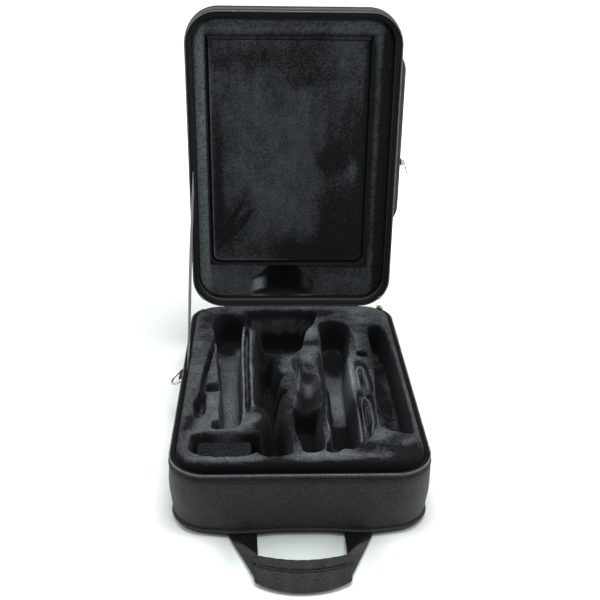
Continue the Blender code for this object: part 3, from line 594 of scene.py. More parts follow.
def zipperTeeth(half):
    shape, faces = block(zipper["toothWidth"], zipper["toothHeight"], zipper["toothLength"], 0.4)
    piece = scatter(half + "ZipperTeeth", shape, faces,
                    *alongRun(half, zipper["toothPitch"], zipStart, zipEnd, -0.0009, -0.0019))
    dress(piece, half, toothPlastic, "zipper_chain", half + "_zipper_chain")


def zipperCord(half):
    # the bright edge that the closed teeth meet on: a thin cord along their tips
    run, normals, _ = caseRun(421, zipStart + 0.001, zipEnd - 0.001)
    path = np.concatenate([run + normals * -zipper["cordIn"],
                           np.full((len(run), 1), -zipper["cordDrop"])], -1)
    piece = tube(half + "ZipperCord", placeHalf(half, path), zipper["cord"], sides=8)
    dress(piece, half, cordPlastic, "zipper_chain")


def seamStitches(half, name, start, end, outward, height):
    shape, faces = bead(zipper["stitchLength"], zipper["stitchWidth"], zipper["stitchWidth"])
    piece = scatter(half + name, shape, faces,
                    *alongRun(half, zipper["stitchPitch"], start, end, outward, height, True))
    dress(piece, half, threadBlack, "black_nylon")


def rimBinding(half):
    # the bound edge of the wall between the zipper and the velvet: a low round ridge, then a dip
    run, normals, s = closedRun(301)
    outer = np.array([(-0.0018, -0.0050), (-0.0019, -0.0026), (-0.0024, -0.0014),
                      (-0.0032, -0.0010), (-0.0040, -0.0013), (-0.0047, -0.0022),
                      (-0.0054, -0.0028), (-0.0064, -0.0029), (-0.0072, -0.0034),
                      (-0.0076, -0.0050)])
    if half == "lid":
        outer[7:, 0] += 0.0006  # clear of the tray, which reaches into the closed lid
    profile = np.concatenate([outer, outer[::-1] * [1, 0] + [0, -0.0056]])
    strip(half, "RimBinding", sweep(run, normals, profile), s, profile, bindingCloth,
          "black_nylon", wrapRows=True)


def cornerEdge(half):
    # the wall's own edge where no zipper runs: from one zipper end round the hinge to the other
    left = caseRun(150, zipEnd - zipper["overlap"], 1.0)
    right = caseRun(150, 0.0, zipStart + zipper["overlap"])
    run, normals = (np.concatenate([left[k], right[k][1:]]) for k in (0, 1))
    profile = np.array([(-0.0016, -0.0090), (-0.0002, -0.0084), (0.0003, -0.0070),
                        (0.0003, -0.0036), (-0.0001, -0.0019), (-0.0010, -0.0010),
                        (-0.0022, -0.0007), (-0.0028, -0.0030), (-0.0028, -0.0080)])
    grid = capped(sweep(run, normals, profile))
    strip(half, "HingeEdge", grid, np.linspace(0, 0.3, len(grid)), profile, blackNylon,
          "black_nylon")


def foamShell(half, depth):
    # a tray of foam board under the nylon: upright wall, rounded foot, flat floor
    run, normals, _ = closedRun(241)
    foot, wall = -depth + 0.0018, skin["foamWall"]
    outer = np.array([(-0.0018, -0.0040), (-0.0018, -0.0200), (-0.0018, -depth + 0.0080),
                      (-0.0022, foot + 0.0030), (-0.0034, foot + 0.0010), (-0.0054, foot)])
    inner = np.array([(-0.0018 - wall, foot + wall), (-0.0018 - wall, -0.0200),
                      (-0.0018 - wall, -0.0040)])
    flat = [0.85, 0.5, 0.15, 0.0]

    def ringOf(profile):
        shift = footShift(half, run, normals, profile[:, 1])
        return sweep(run, normals, profile[None] + np.stack([shift, 0 * shift], -1))

    outside, inside = ringOf(outer), ringOf(inner)
    grid = np.concatenate([floorOf(outside[:, -1], foot, flat)[:, ::-1], outside[:, ::-1],
                           inside[:, ::-1], floorOf(inside[:, 0], foot + wall, flat)], 1)
    piece = surface(half + "FoamShell", placeHalf(half, grid), wrapRows=True)
    dress(piece, half, foamBoard, "shell_foam", half + "_shell")


for half, depth, panel in (("base", case["baseDepth"], "base_bottom_cover"),
                           ("lid", case["lidDepth"], "lid_outer_cover")):
    sideBand(half, depth)
    flatPanel(half, depth, panel)
    welt(half, depth)
    zipperTape(half)
    zipperTeeth(half)
    zipperCord(half)
    seamStitches(half, "TapeStitches", zipStart, zipEnd, 0.0006, -0.0071)
    seamStitches(half, "WeltStitches", 0, 1, 0.0003, -depth + 0.0088)
    rimBinding(half)
    cornerEdge(half)
    foamShell(half, depth)
print("nylon skin made")


def strokes(x, y, table):
    # each stroke is a bell curve, long one way and narrow the other
    napAndPaintedLight = np.zeros(x.shape)
    for strength, (cx, cy), long, narrow, angle in table:
        c, s = math.cos(math.radians(angle)), math.sin(math.radians(angle))
        u = (x - cx) * c + (y - cy) * s
        v = -(x - cx) * s + (y - cy) * c
        napAndPaintedLight += strength * np.exp(-(u / long) ** 2 - (v / narrow) ** 2)
    return napAndPaintedLight


tray = {
    "halfX": 0.1179, "front": -0.1759, "rear": 0.1639, "corner": 0.0309,
    "top": 0.0785, "foot": 0.0655, "edge": 0.0042, "spacing": 0.00112,
}

# Wells, outlined at the plateau in millimetres: depth, run of the wall inwards, how far the edge
# is rounded outwards, outline
wells = [
    (58.0, 3.6, 3.2, [(-55, 151), (28, 151), (28, 139), (25, 128), (22, 113), (17, 104), (12, 92),
     (9, 75), (8, 60), (5, 48), (-1, 40), (-9, 35), (-18, 34), (-25, 38), (-31, 46), (-34, 58),
     (-36, 78), (-39, 92), (-44, 102), (-50, 111), (-52, 125), (-55, 139)]),
    (40.5, 3.0, 1.6, [(-92, 128), (-88, 136), (-80, 140), (-70, 139), (-62, 134), (-59, 125),
     (-61, 110), (-62, 60), (-61, 20), (-58, -30), (-57, -80), (-58, -105), (-62, -115),
     (-70, -118), (-76, -116), (-79, -108), (-80, -80), (-80, -47), (-82, -30), (-85, 0),
     (-88, 40), (-90, 70), (-94, 95), (-97, 112)]),
    (18.0, 3.6, 1.6, [(-92, 76), (-91, 60), (-94, 20), (-97, -8), (-98, -40), (-95, -58),
     (-94, -78), (-96, -92), (-101, -99), (-106, -88), (-107, -70), (-105, -58), (-102, -45),
     (-102, -10), (-99, 20), (-95, 60)]),
    (13.0, 2.2, 1.4, [(-98, -31), (-90, -28), (-80, -25), (-80, -45), (-88, -47), (-98, -44)]),
    (20.0, 2.2, 1.2, [(-87, -104), (-82, -100), (-76, -101), (-74, -108), (-75, -116),
     (-82, -119), (-87, -115)]),
    (12.0, 1.6, 1.0, [(-57.5, 100), (-53, 100), (-52, 60), (-52, 20), (-50, -30), (-48.5, -80),
     (-50, -90), (-53.5, -80), (-55, -30), (-57, 20), (-58.5, 60)]),
    (39.0, 5.0, 3.4, [(-29, 30), (-24, 22), (-21, 5), (-17, -4), (-10, -10), (-17, -15),
     (-20, -25), (-20, -38), (-9, -45), (-19, -52), (-21, -75), (-19, -100), (-13, -116),
     (-10, -130), (-9, -150), (-10, -162), (-37, -163), (-39, -150), (-39, -128), (-34, -112),
     (-27, -95), (-30, -82), (-37, -76), (-44, -71), (-44, -40), (-43, 0), (-39, 18), (-34, 26)]),
    (33.0, 3.0, 1.6, [(-105, -164), (-106, -130), (-99, -123), (-45, -123), (-37, -126),
     (-36, -164)]),
    (13.0, 9.0, 4.0, [(-4, 28), (3, 30), (7, 20), (6, 2), (10, -6), (18, -6), (23, -14),
     (24, -40), (22, -82), (-3, -82), (0, -60), (3, -30), (1, -10), (-4, 10)]),
    (31.0, 5.0, 2.6, [(-5, -80), (22, -78), (20, -110), (22, -125), (23, -156), (3, -159),
     (2, -140), (-2, -128), (-6, -115), (-6, -92)]),
    (41.0, 4.5, 3.0, [(33, 117), (45, 121), (56, 119), (62, 112), (66, 100), (64, 70), (60, 40),
     (57, 10), (57, -40), (58, -100), (58, -128), (56, -146), (50, -152), (40, -150), (34, -158),
     (26, -156), (25, -146), (31, -138), (33, -120), (30, -100), (31, -82), (34, -72), (31, -55),
     (36, -45), (32, -25), (32, 0), (31, 40), (32, 80), (31, 100)]),
    (9.0, 2.4, 1.2, [(64.5, 14), (67, 21), (74, 21), (79, 13), (81, -28), (82, -46), (76, -49),
     (68, -47), (64.5, -28)]),
    (14.0, 2.2, 1.4, [(70, 46), (76, 48), (82, 42), (82, 31), (76, 28), (69, 32)]),
    (9.0, 2.4, 1.2, [(62, -50), (66, -44), (74, -45), (79, -58), (80, -85), (77, -112),
     (69, -133), (60, -149), (61, -125), (62, -100)]),
    (41.0, 3.4, 1.6, [(90, 108), (112, 111), (112, -126), (108, -129), (82, -118), (80, -100),
     (83, -50), (87, 0), (90, 40), (88, 90)]),
    (15.0, 11.0, 1.4, [(-46, 112), (-41, 98), (-37, 78), (-35, 60), (-30, 44), (-24, 30),
     (-21, 4), (-26, -30), (-31, -58), (-41, -72), (-44.5, -58), (-45.5, 0), (-47, 60)]),
    (10.0, 3.0, 2.0, [(-61, 136), (-53, 140), (-51, 120), (-53, 104), (-60, 106)]),
    (6.0, 6.0, 3.0, [(66, 100), (70, 90), (72, 74), (72, 50), (68, 44), (62, 46), (61, 70),
     (63, 90)]),
]

# Thin raised rims, in millimetres: height, half width, line
rims = [
    (5.5, 0.9, [(67.5, -34), (67.5, 4), (69, 11), (72, 13), (75, 8), (76.5, -34)]),
    (5.5, 0.9, [(65.5, -118), (66, -66), (68, -56), (71, -53), (74.5, -62), (75, -98), (71, -124)]),
    (3.0, 0.8, [(69, -104), (69.5, -74), (71, -68), (72, -76), (71.5, -100)]),
    (1.2, 1.0, [(61, 78), (60, 30), (59.5, -30), (60, -100), (59.5, -140)]),
    (1.0, 1.2, [(-51, 96), (-50.5, 60), (-50, 20), (-47.5, -40), (-46, -76)]),
    (0.8, 0.9, [(-60, 104), (-59, 40), (-56, -40), (-55, -100)]),
    (0.8, 1.0, [(32, 105), (31, 84), (30, 40), (30.5, 0), (31, -40), (29, -80), (29, -120)]),
    (0.8, 0.9, [(-88, 96), (-90, 60), (-93, 20)]), (0.8, 0.8, [(4, 10), (2.5, -20), (2, -44)]),
]

# Soft hollows and swellings of the plateau, in millimetres: height, centre, half widths
swells = [
    (-2.6, (24, 72), (12, 12)), (-1.8, (-42, 70), (7, 34)), (-2.2, (38, 132), (9, 5)),
    (-1.6, (96, -150), (9, 14)), (-1.4, (72, -160), (8, 6)), (-1.2, (40, -168), (12, 4)),
    (-1.6, (10, -166), (7, 4)), (-2.4, (-40, -118), (8, 5)), (-3.0, (-14, 4), (6, 12)),
    (-2.0, (-12, -80), (5, 26)), (-1.5, (-100, -112), (8, 8)), (-1.0, (-70, -170), (30, 3)),
    (-1.8, (76, 70), (5, 30)), (-1.2, (84, -134), (12, 6)), (-2.2, (-30, -70), (3, 8)),
]

# Lighter and darker marks, in millimetres, as on the flap: lies of the pile together with painted
# highlight and painted shade on the wells' walls, floors and ridges
trayStrokes = [
    (0.26, (88, 152), 34, 10, 0), (-0.20, (-106, 116), 44, 9, 90),
    (0.56, (-70, -10), 120, 10, 89), (0.06, (27, 95), 14, 8, 62), (0.16, (19, 47), 13, 9, 80),
    (0.06, (29, 92), 9, 7, 0), (-0.34, (26, 69), 9, 5, 10), (-0.50, (13, 10), 11, 8, 90),
    (0.20, (-12, 14), 40, 6, 88), (0.62, (52, -2), 44, 17, 90), (-0.8, (50, -76), 24, 20, 90),
    (-0.7, (30, -20), 62, 4.5, 91), (0.30, (78, -130), 14, 6, 30), (-0.22, (60, -172), 26, 4, 4),
    (0.14, (30, -165), 50, 4, 0), (0.42, (-43, -100), 20, 7, 42), (-0.8, (-24, -122), 42, 13, 90),
    (-0.8, (-54, 122), 16, 6, 98), (-0.06, (-105, -60), 40, 7, 90), (-0.36, (98, 0), 130, 13, 90),
    (-0.60, (-76, 123), 18, 20, 90), (-0.70, (48, 84), 34, 15, 90), (0.20, (13, -17), 9, 8, 90),
    (-0.45, (11, -50), 14, 10, 90), (0.16, (88, 124), 18, 14, 0), (-0.26, (96, -152), 14, 16, 30),
    (-0.60, (-24, 70), 50, 20, 90), (0.14, (30, -162), 50, 4, 0),
    (0.24, (-70, -167.5), 44, 2.6, 0), (-0.44, (-30, -60), 80, 14, 88),
    (-0.35, (104, -164), 20, 9, 40), (-0.80, (10, -104), 34, 14, 90),
    (-0.32, (-97, 10), 70, 3, 87), (-0.45, (-41, 40), 66, 6, 88),
    (-0.5, (71.5, -12), 15, 2.6, 90), (-0.5, (70.5, -92), 24, 2.4, 90),
    (-0.30, (0, -175), 110, 2.5, 0), (0.32, (12, -160), 14, 4, 10), (0.30, (102, -142), 8, 5, 40),
    (0.26, (44, -157), 9, 4, 20), (-0.35, (62, -150), 12, 10, 20), (-0.12, (-101, 64), 26, 5, 88),
    (-0.05, (-9, -56), 24, 5, 90), (0.18, (-88, -60), 22, 5, 88),
    (-0.35, (-110, -110), 24, 6, 80), (0.22, (-62, -128), 30, 3, 0), (-0.30, (0, 148), 60, 5, 0),
    (-0.40, (40, 140), 12, 5, 20), (0.60, (-65, 108), 11, 4, 95), (0.20, (111, 0), 90, 3, 90),
    (0.18, (58, -40), 50, 3.5, 90), (0.34, (20, 95), 7, 11, 0), (0.40, (15, 20), 6, 15, 0),
    (-0.34, (20, 62), 10, 8, 0), (0.20, (12, -36), 6, 10, 0), (-0.25, (14, -10), 9, 6, 0),
]


def toLines(x, y, line, closeIt):
    # least distance from each grid point to a run of straight pieces, in millimetres
    pts = np.array(line, float)
    ends = np.roll(pts, -1, 0) if closeIt else pts[1:]
    starts = pts if closeIt else pts[:-1]
    best = np.full(x.shape, 1e9)
    for (ax, ay), (bx, by) in zip(starts, ends):
        dx, dy = bx - ax, by - ay
        t = np.clip(((x - ax) * dx + (y - ay) * dy) / (dx * dx + dy * dy), 0, 1)
        best = np.minimum(best, np.hypot(x - ax - t * dx, y - ay - t * dy))
    return best


def within(x, y, line):
    # true where an upward ray from the point crosses the outline an odd number of times
    pts = np.array(line, float)
    inside = np.zeros(x.shape, bool)
    for (ax, ay), (bx, by) in zip(pts, np.roll(pts, -1, 0)):
        if ax == bx:
            continue
        crosses = (ax > x) != (bx > x)
        inside ^= crosses & (y < (by - ay) * (x - ax) / (bx - ax) + ay)
    return inside


def rounder(line, passes=2):
    # cuts each corner of an outline at a quarter of its sides
    pts = np.array(line, float)
    for _ in range(passes):
        after = np.roll(pts, -1, 0)
        pts = np.stack([pts * 0.75 + after * 0.25, pts * 0.25 + after * 0.75], 1).reshape(-1, 2)
    return pts


def trayHeight(x, y):
    # plateau minus the deepest well at each point; walls and floors run into each other smoothly
    mx, my = x * 1000, y * 1000
    sink = np.zeros(x.shape)
    for depth, wall, lip, outline in wells:
        soft = rounder(outline)
        (lowX, lowY), (highX, highY) = soft.min(0) - 6, soft.max(0) + 6
        near = (mx > lowX) & (mx < highX) & (my > lowY) & (my < highY)
        px, py = mx[near], my[near]
        d = toLines(px, py, soft, True)
        d = np.where(within(px, py, soft), d, -d)
        wobble = 0.5 if depth < 30 else 0.2
        d = d + wobble * np.sin(px / 3.1 + 1.3 * np.sin(py / 4.7)) * smoothStep(-6, 0, d)
        bowl = 0.80 + 0.20 * np.sqrt(1 - (1 - np.clip(d / 13.0, 0, 1)) ** 2)
        sink[near] = np.maximum(sink[near], depth * smoothStep(-lip, wall, d) * bowl)
    crest = np.zeros(x.shape)
    for height, half, line in rims:
        lift = np.exp(-(toLines(mx, my, line, False) / half) ** 2)
        sink -= height * lift * smoothStep(0.4, 2.5, sink)
        crest = np.maximum(crest, lift)
    top = np.zeros(x.shape)
    for height, (cx, cy), (wx, wy) in swells:
        top += height * np.exp(-((mx - cx) / wx) ** 2 - ((my - cy) / wy) ** 2)
    brow = np.exp(-((sink - 0.6) / 0.7) ** 2) * (sink > 0.02)
    roll = (0.30 * np.sin(mx / 9.1 + 0.7 * np.sin(my / 11.3)) * np.sin(my / 12.7)
            + 0.18 * np.sin(mx / 4.3 + my / 7.9))
    height = tray["top"] + (np.minimum(top + roll - 0.5, 0) - np.maximum(sink, 0)) / 1000
    # painted highlight along the brows of the wells and on the raised rims, then the table's marks
    napAndPaintedLight = 0.12 * brow + 0.55 * crest + strokes(mx, my, trayStrokes)
    # the upper half of the bell well's rear wall catches a little light
    rear = smoothStep(138, 143, my) * smoothStep(-55, -50, mx) * (1 - smoothStep(22, 27, mx))
    napAndPaintedLight += 0.42 * rear * smoothStep(6, 18, sink) * (1 - smoothStep(32, 42, sink))
    return height, napAndPaintedLight


def makeTray():
    # a height field on a grid whose corner cells are bent to the tray's round corners, and a
    # skirt of four rings under its edge
    halfX, r, e = tray["halfX"], tray["corner"], tray["edge"]
    halfY, midY = (tray["rear"] - tray["front"]) / 2, (tray["rear"] + tray["front"]) / 2
    nx, ny = (int(2 * half / tray["spacing"]) for half in (halfX, halfY))
    u, v = np.meshgrid(np.linspace(-1, 1, nx), np.linspace(-1, 1, ny), indexing="ij")
    dx, dy, edge = drawnIn(np.abs(u) * halfX - halfX + r, np.abs(v) * halfY - halfY + r, r)
    x, y = np.sign(u) * (halfX - r + dx), np.sign(v) * (halfY - r + dy) + midY
    z, napAndPaintedLight = trayHeight(x, y)
    inner = np.clip(e - edge, 0, e)
    z = z - (e - np.sqrt(np.maximum(e * e - inner ** 2, 0)))
    grid = np.stack([x, y, z], -1)
    rim = perimeter(grid)
    levels = np.linspace(0, 1, 5)[1:, None]
    skirt = np.repeat(rim[None], 4, 0)
    skirt[..., 2] = rim[None, :, 2] * (1 - levels) + tray["foot"] * levels
    index = np.arange(nx * ny).reshape(nx, ny)
    lower = nx * ny + np.arange(4 * len(rim)).reshape(4, len(rim))
    stack = np.concatenate([perimeter(index)[None], lower], 0)
    stack = np.concatenate([stack, stack[:, :1]], 1)
    points = np.concatenate([grid.reshape(-1, 3), skirt.reshape(-1, 3)])
    faces = np.concatenate([corners(index), corners(stack)])
    # painted shade on the skirt under the tray's edge
    napAndPaintedLight = np.concatenate([napAndPaintedLight.ravel(), np.full(4 * len(rim), -0.5)])
    piece = finishMesh("velvetTray", meshFrom("velvetTray", points, faces, napAndPaintedLight=napAndPaintedLight))
    faceTowards(piece, (0, 0, 1))
    dress(piece, "base", trayVelvet, "charcoal_velvet", "instrument_tray")


makeTray()
print("tray made")


lining = {
    "halfX": 0.1179, "halfY": 0.1759, "corner": 0.0309, "recess": 0.0098, "edge": 0.0045,
    "windowX": 0.0965, "windowOffset": -0.0055, "windowStart": 0.0564, "windowLength": 0.281,
    "ledge": 0.0174, "ledgeWidth": 0.010, "floor": 0.0286, "lip": 0.0026, "foot": 0.0125,
}
windowLow = lining["windowStart"] - case["halfLength"]
windowHigh = windowLow + lining["windowLength"]
# the bell's hollow: its middle, its start and length up the lid, half widths and depths there
scoop = {
    "axis": -0.012, "start": 0.0125, "length": 0.0415,
    "at": (-0.05, 0.0, 0.15, 0.33, 0.45, 0.56, 0.67, 0.78, 0.88, 1.0),
    "wide": (0.0375, 0.0388, 0.0408, 0.0412, 0.0400, 0.0362, 0.0312, 0.0258, 0.0218, 0.0185),
    "deep": (0.0175, 0.0168, 0.0118),
}


def frameRun(halfX, low, high, radius, lower, offset=0.0, counts=(150, 60, 9)):
    # a rounded rectangle with a set number of points across, up and on each bend, so that two
    # can be lofted; its lower corners have a radius of their own
    across, up, bend = counts
    bends = [(halfX - radius, high - radius, radius), (-halfX + radius, high - radius, radius),
             (-halfX + lower, low + lower, lower), (halfX - lower, low + lower, lower)]

    def onBend(k, a):
        cx, cy, r = bends[k % 4]
        return np.stack([cx + r * np.cos(a), cy + r * np.sin(a)], -1)

    points = []
    for k, count in enumerate((across, up, across, up)):
        end = (k + 1) * np.pi / 2
        points.append(onBend(k, k * np.pi / 2 + np.linspace(0, np.pi / 2, bend, endpoint=False)))
        t = np.linspace(0, 1, count, endpoint=False)[:, None]
        points.append(onBend(k, end) * (1 - t) + onBend(k + 1, end) * t)
    return np.concatenate(points) + [offset, 0]


def scoopDepth(x, along):
    # half a bell lying in the border: widest at its mouth, round in section, with a flat end wall
    t = (along - scoop["start"]) / scoop["length"]
    wide = np.interp(t, scoop["at"], scoop["wide"])
    q = np.clip(1 - ((x - scoop["axis"]) / wide) ** 2, 0, 1)
    body = np.interp(t, [0, 0.5, 1.0], scoop["deep"]) * np.maximum(q ** 0.5 - 0.10, 0) / 0.9
    return body * smoothStep(-0.04, 0.05, t) * (1 - smoothStep(0.93, 1.03, t))


def liningPaintedLight(x, y):
    # lighter and darker marks on the lining at the lid's own places: painted highlight and painted
    # shade in the hollow, on the border and round the window
    along = y + case["halfLength"]
    across, up = x - scoop["axis"], along - scoop["start"]
    deep = scoopDepth(x, along)
    inside = smoothStep(0.0005, 0.0030, deep)
    # painted highlight: a bright crescent on the hollow's left, a weak one on its right; painted
    # shade in its middle
    left = smoothStep(0.002, 0.006, up) * (1 - smoothStep(0.017, 0.023, up))
    napAndPaintedLight = inside * (1.7 * left * np.exp(-((across + 0.030) / 0.007) ** 2)
                    + 0.30 * smoothStep(0.003, 0.008, up) * np.exp(-((across - 0.030) / 0.006) ** 2)
                    - 0.5 * np.exp(-(across / 0.020) ** 2))
    # painted highlight round the hollow's rim
    napAndPaintedLight += 0.16 * np.exp(-((deep - 0.0010) / 0.0010) ** 2) * (deep > 0.00005)
    # painted highlight on the border's left side, painted shade on its right
    border = smoothStep(0.003, 0.010, np.abs(x) - lining["windowX"])
    napAndPaintedLight += np.where(x < 0, 0.40, -0.22) * border * (1 - inside)
    # lighter towards the foot of the border and along its top
    napAndPaintedLight += 0.08 * smoothStep(0.050, 0.030, along) * (1 - inside)
    napAndPaintedLight += 0.14 * smoothStep(0.338, 0.346, along)
    # painted shade round the window, most on its right
    gap = np.maximum(np.abs(x - lining["windowOffset"]) - lining["windowX"],
                     np.abs(y - (windowLow + windowHigh) / 2) - lining["windowLength"] / 2)
    reach = 0.0014 + 0.0026 * smoothStep(-0.09, 0.09, x)
    below = 1 - 0.7 * smoothStep(windowHigh - 0.020, windowHigh, y)
    return napAndPaintedLight - 0.5 * np.exp(-(np.maximum(gap, 0) / reach) ** 2) * below


def makeLining():
    # rows from the outer edge over the border, down the window's sides and across its floor
    recess, e, lip = lining["recess"], lining["edge"], lining["lip"]
    ledge, ledgeWidth, floor = lining["ledge"], lining["ledgeWidth"], lining["floor"]
    outer = frameRun(lining["halfX"], -lining["halfY"], lining["halfY"], lining["corner"],
                     lining["corner"])

    def ring(inset, radius):
        return frameRun(lining["windowX"] - inset, windowLow + inset, windowHigh - inset, radius,
                        max(lining["foot"] - inset, radius), lining["windowOffset"])

    window = ring(0, 0.0012)
    span = np.linalg.norm(outer - window, axis=1)[:, None]
    rows = [(outer, depth) for depth in (0.0250, 0.0180, recess + e)]
    for a in np.linspace(0, np.pi / 2, 6)[1:]:
        share = e * math.sin(a) / span
        rows.append((outer * (1 - share) + window * share, recess + e - e * math.sin(a)))
    for t in np.linspace(0, 1, 44)[1:-1]:
        share = e / span + (1 - e / span) * t
        pts = outer * (1 - share) + window * share
        ripple = 0.00018 * np.sin(pts[:, 0] / 0.011 + 1.1 * np.sin(pts[:, 1] / 0.013))
        hollow = scoopDepth(pts[:, 0], pts[:, 1] + case["halfLength"])
        rows.append((pts, recess - 0.0007 * np.sin(np.pi * t) + ripple + hollow))
    for a in np.linspace(0, np.pi / 2, 5):
        rows.append((ring(-lip + lip * math.sin(a), 0.0012 if a > 0.8 else 0.0022),
                     recess + lip - lip * math.cos(a)))
    for inset, depth in ((0.0, 0.0140), (0.0001, ledge - 0.0006), (0.0008, ledge), (0.0050, ledge),
                         (0.0094, ledge), (ledgeWidth, ledge + 0.0008), (ledgeWidth, 0.0230),
                         (ledgeWidth + 0.0003, floor - 0.0010), (ledgeWidth + 0.0016, floor)):
        rows.append((ring(inset, 0.0014), depth))
    centre = np.array([lining["windowOffset"], (windowLow + windowHigh) / 2])
    inmost = ring(ledgeWidth + 0.0016, 0.0014)
    rows += [(centre + (inmost - centre) * share, floor) for share in (0.75, 0.45, 0.15, 0.0)]
    x, y = np.stack([pts for pts, _ in rows]).transpose(2, 0, 1)
    depth = np.stack([np.broadcast_to(depth, len(outer)) for _, depth in rows])
    piece = surface("lidLining", lidPoint(x, y, depth), wrapCols=True, closed=False,
                    napAndPaintedLight=liningPaintedLight(x, y))
    faceTowards(piece, (0, -1, 0))
    dress(piece, "lid", lidVelvet, "charcoal_velvet", "lid_lining_frame", "compartment_lining")


makeLining()

flapForm = {"recess": 0.0122, "thick": 0.0029, "gapSide": 0.0030, "gapTop": 0.0047,
            "roll": 0.0013, "corner": 0.0095}

# Where a hand brushed the pile over: strength, centre, half length, half width, angle of the stroke
flapStrokes = [
    (-0.10, (0.060, 0.045), 0.050, 0.022, 80), (-0.26, (0.058, -0.078), 0.045, 0.024, 95),
    (-0.24, (0.045, -0.112), 0.044, 0.012, 8), (-0.12, (0.083, 0.010), 0.070, 0.010, 90),
    (-0.42, (-0.072, -0.064), 0.016, 0.0022, 58), (-0.42, (-0.066, -0.080), 0.018, 0.0020, 50),
    (-0.36, (-0.077, -0.076), 0.015, 0.0020, 64), (-0.30, (-0.058, -0.064), 0.010, 0.0018, 40),
    (-0.36, (-0.081, -0.092), 0.012, 0.0024, 55), (-0.14, (-0.082, -0.076), 0.030, 0.020, 60),
    (-0.12, (0.010, -0.108), 0.080, 0.020, 0), (-0.24, (0.045, 0.008), 0.016, 0.012, 40),
    (-0.10, (-0.050, 0.128), 0.070, 0.014, 0), (0.05, (-0.030, 0.020), 0.060, 0.035, 70),
    (0.05, (-0.020, -0.060), 0.050, 0.030, 85), (-0.08, (0.030, 0.105), 0.045, 0.010, 5),
    (-0.16, (-0.090, -0.020), 0.080, 0.006, 90), (0.22, (0.074, -0.006), 0.012, 0.006, 90),
]


def makeFlap():
    # a board padded on its face, square at the hinge, round at the two free corners, rolled edges
    low, high = windowLow + flapForm["gapSide"], windowHigh - flapForm["gapTop"]
    halfX = lining["windowX"] - flapForm["gapSide"]
    r, roll, recess = flapForm["corner"], flapForm["roll"], flapForm["recess"]
    nx, ny = 150, 210
    u, v = np.meshgrid(np.linspace(-1, 1, nx), np.linspace(0, 1, ny), indexing="ij")
    dx, dy, edge = drawnIn(np.abs(u) * halfX - halfX + r, r - v * (high - low), r)
    x, y = np.sign(u) * (halfX - r + dx), low + r - dy
    welted = 0.0007 * np.exp(-((edge - 0.0013) / 0.0011) ** 2)
    drop = roll - np.sqrt(np.maximum(roll ** 2 - np.clip(roll - edge, 0, roll) ** 2, 0))
    sag = 0.0005 * np.sin(np.pi * np.clip((y - low) / (high - low), 0, 1)) * (1 - (x / halfX) ** 2)
    ripple = 0.00028 * np.sin(x / 0.017 + 1.4 * np.sin(y / 0.023)) * np.sin(y / 0.019 + 0.5)
    front = recess + drop - welted + sag + ripple * smoothStep(0.002, 0.012, edge)
    back = recess + flapForm["thick"] - drop * 0.9
    # painted highlight on the rolled edge at the left and the foot, painted shade at the right and
    # the hinge
    lit = (x < 0) | (y < low + 0.01)
    dim = (x > 0) | (y > high - 0.01)
    x = x + lining["windowOffset"]
    brushed = strokes(x, y, flapStrokes)
    rim = (0.40 * np.exp(-((edge - 0.0010) / 0.0007) ** 2) * lit
           - 0.22 * np.exp(-(edge / 0.0035) ** 2) * dim)
    index = np.arange(nx * ny).reshape(nx, ny)
    loop = perimeter(index)
    loop = np.append(loop, loop[0])
    faces = np.concatenate([corners(index), corners(index)[:, ::-1] + nx * ny,
                            corners(np.stack([loop, loop + nx * ny]))])
    points = np.concatenate([lidPoint(x, y, depth).reshape(-1, 3) for depth in (front, back)])
    napAndPaintedLight = np.concatenate([(brushed + rim).ravel(), brushed.ravel()])
    piece = finishMesh("documentFlap", meshFrom("documentFlap", points, faces, napAndPaintedLight=napAndPaintedLight))
    dress(piece, "flap", lidVelvet, "charcoal_velvet", "document_flap", "flap_edge_cord")


makeFlap()
print("lid lining made")


hinge = {
    "half": 0.0865, "thick": 0.0010, "low": (0, 0.1834, 0.0622), "high": (0, 0.1885, 0.0652),
    "bend": ((0.1832, 0.0600), (0.1838, 0.0625), (0.1843, 0.0642), (0.1850, 0.0652),
             (0.1866, 0.0655), (0.1900, 0.0652), (0.1955, 0.0650)),
}


def bending(piece, material):
    # a soft piece that stretches between two bodies: it gets its material, and its place is baked
    # into its points
    piece.data.materials.append(material)
    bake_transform(piece)


def makeHinge():
    # one strip from the base's rear wall round the axis to the lid's lower wall, slightly slack
    rows, cols = 90, 25
    bend = np.array(hinge["bend"])
    t, at = np.linspace(0, 1, cols), np.linspace(0, 1, len(bend))
    y, z = np.interp(t, at, bend[:, 0]), np.interp(t, at, bend[:, 1])
    x = np.linspace(-hinge["half"], hinge["half"], rows)
    wave = 0.00025 * np.sin(x[:, None] / 0.0067)
    outer = np.stack([np.broadcast_to(x[:, None], (rows, cols)), y + wave * 0.5,
                      z - 0.0001 + wave * 0.3], -1)
    slope = np.gradient(np.stack([y, z], -1), axis=0)
    normal = np.stack([0 * y, -slope[:, 1], slope[:, 0]], -1)
    normal /= np.linalg.norm(normal, axis=1)[:, None]
    inner = outer + normal * hinge["thick"]
    grid = capped(np.concatenate([outer, inner[:, ::-1]], 1))
    along = np.concatenate([x[:1], x, x[-1:]])
    uv = clothUv(along, np.linspace(0, 0.05, grid.shape[1] + 1))
    piece = surface("fabricHinge", grid, uv, wrapCols=True)
    bending(piece, blackNylon)
    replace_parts(piece, "hinge_leaf_base", "hinge_leaf_lid")


makeHinge()

stay = {"x": -0.1205, "width": 0.018, "thick": 0.0006, "up": 0.167, "forward": 0.155,
        "sewn": 0.0030, "held": 0.02}


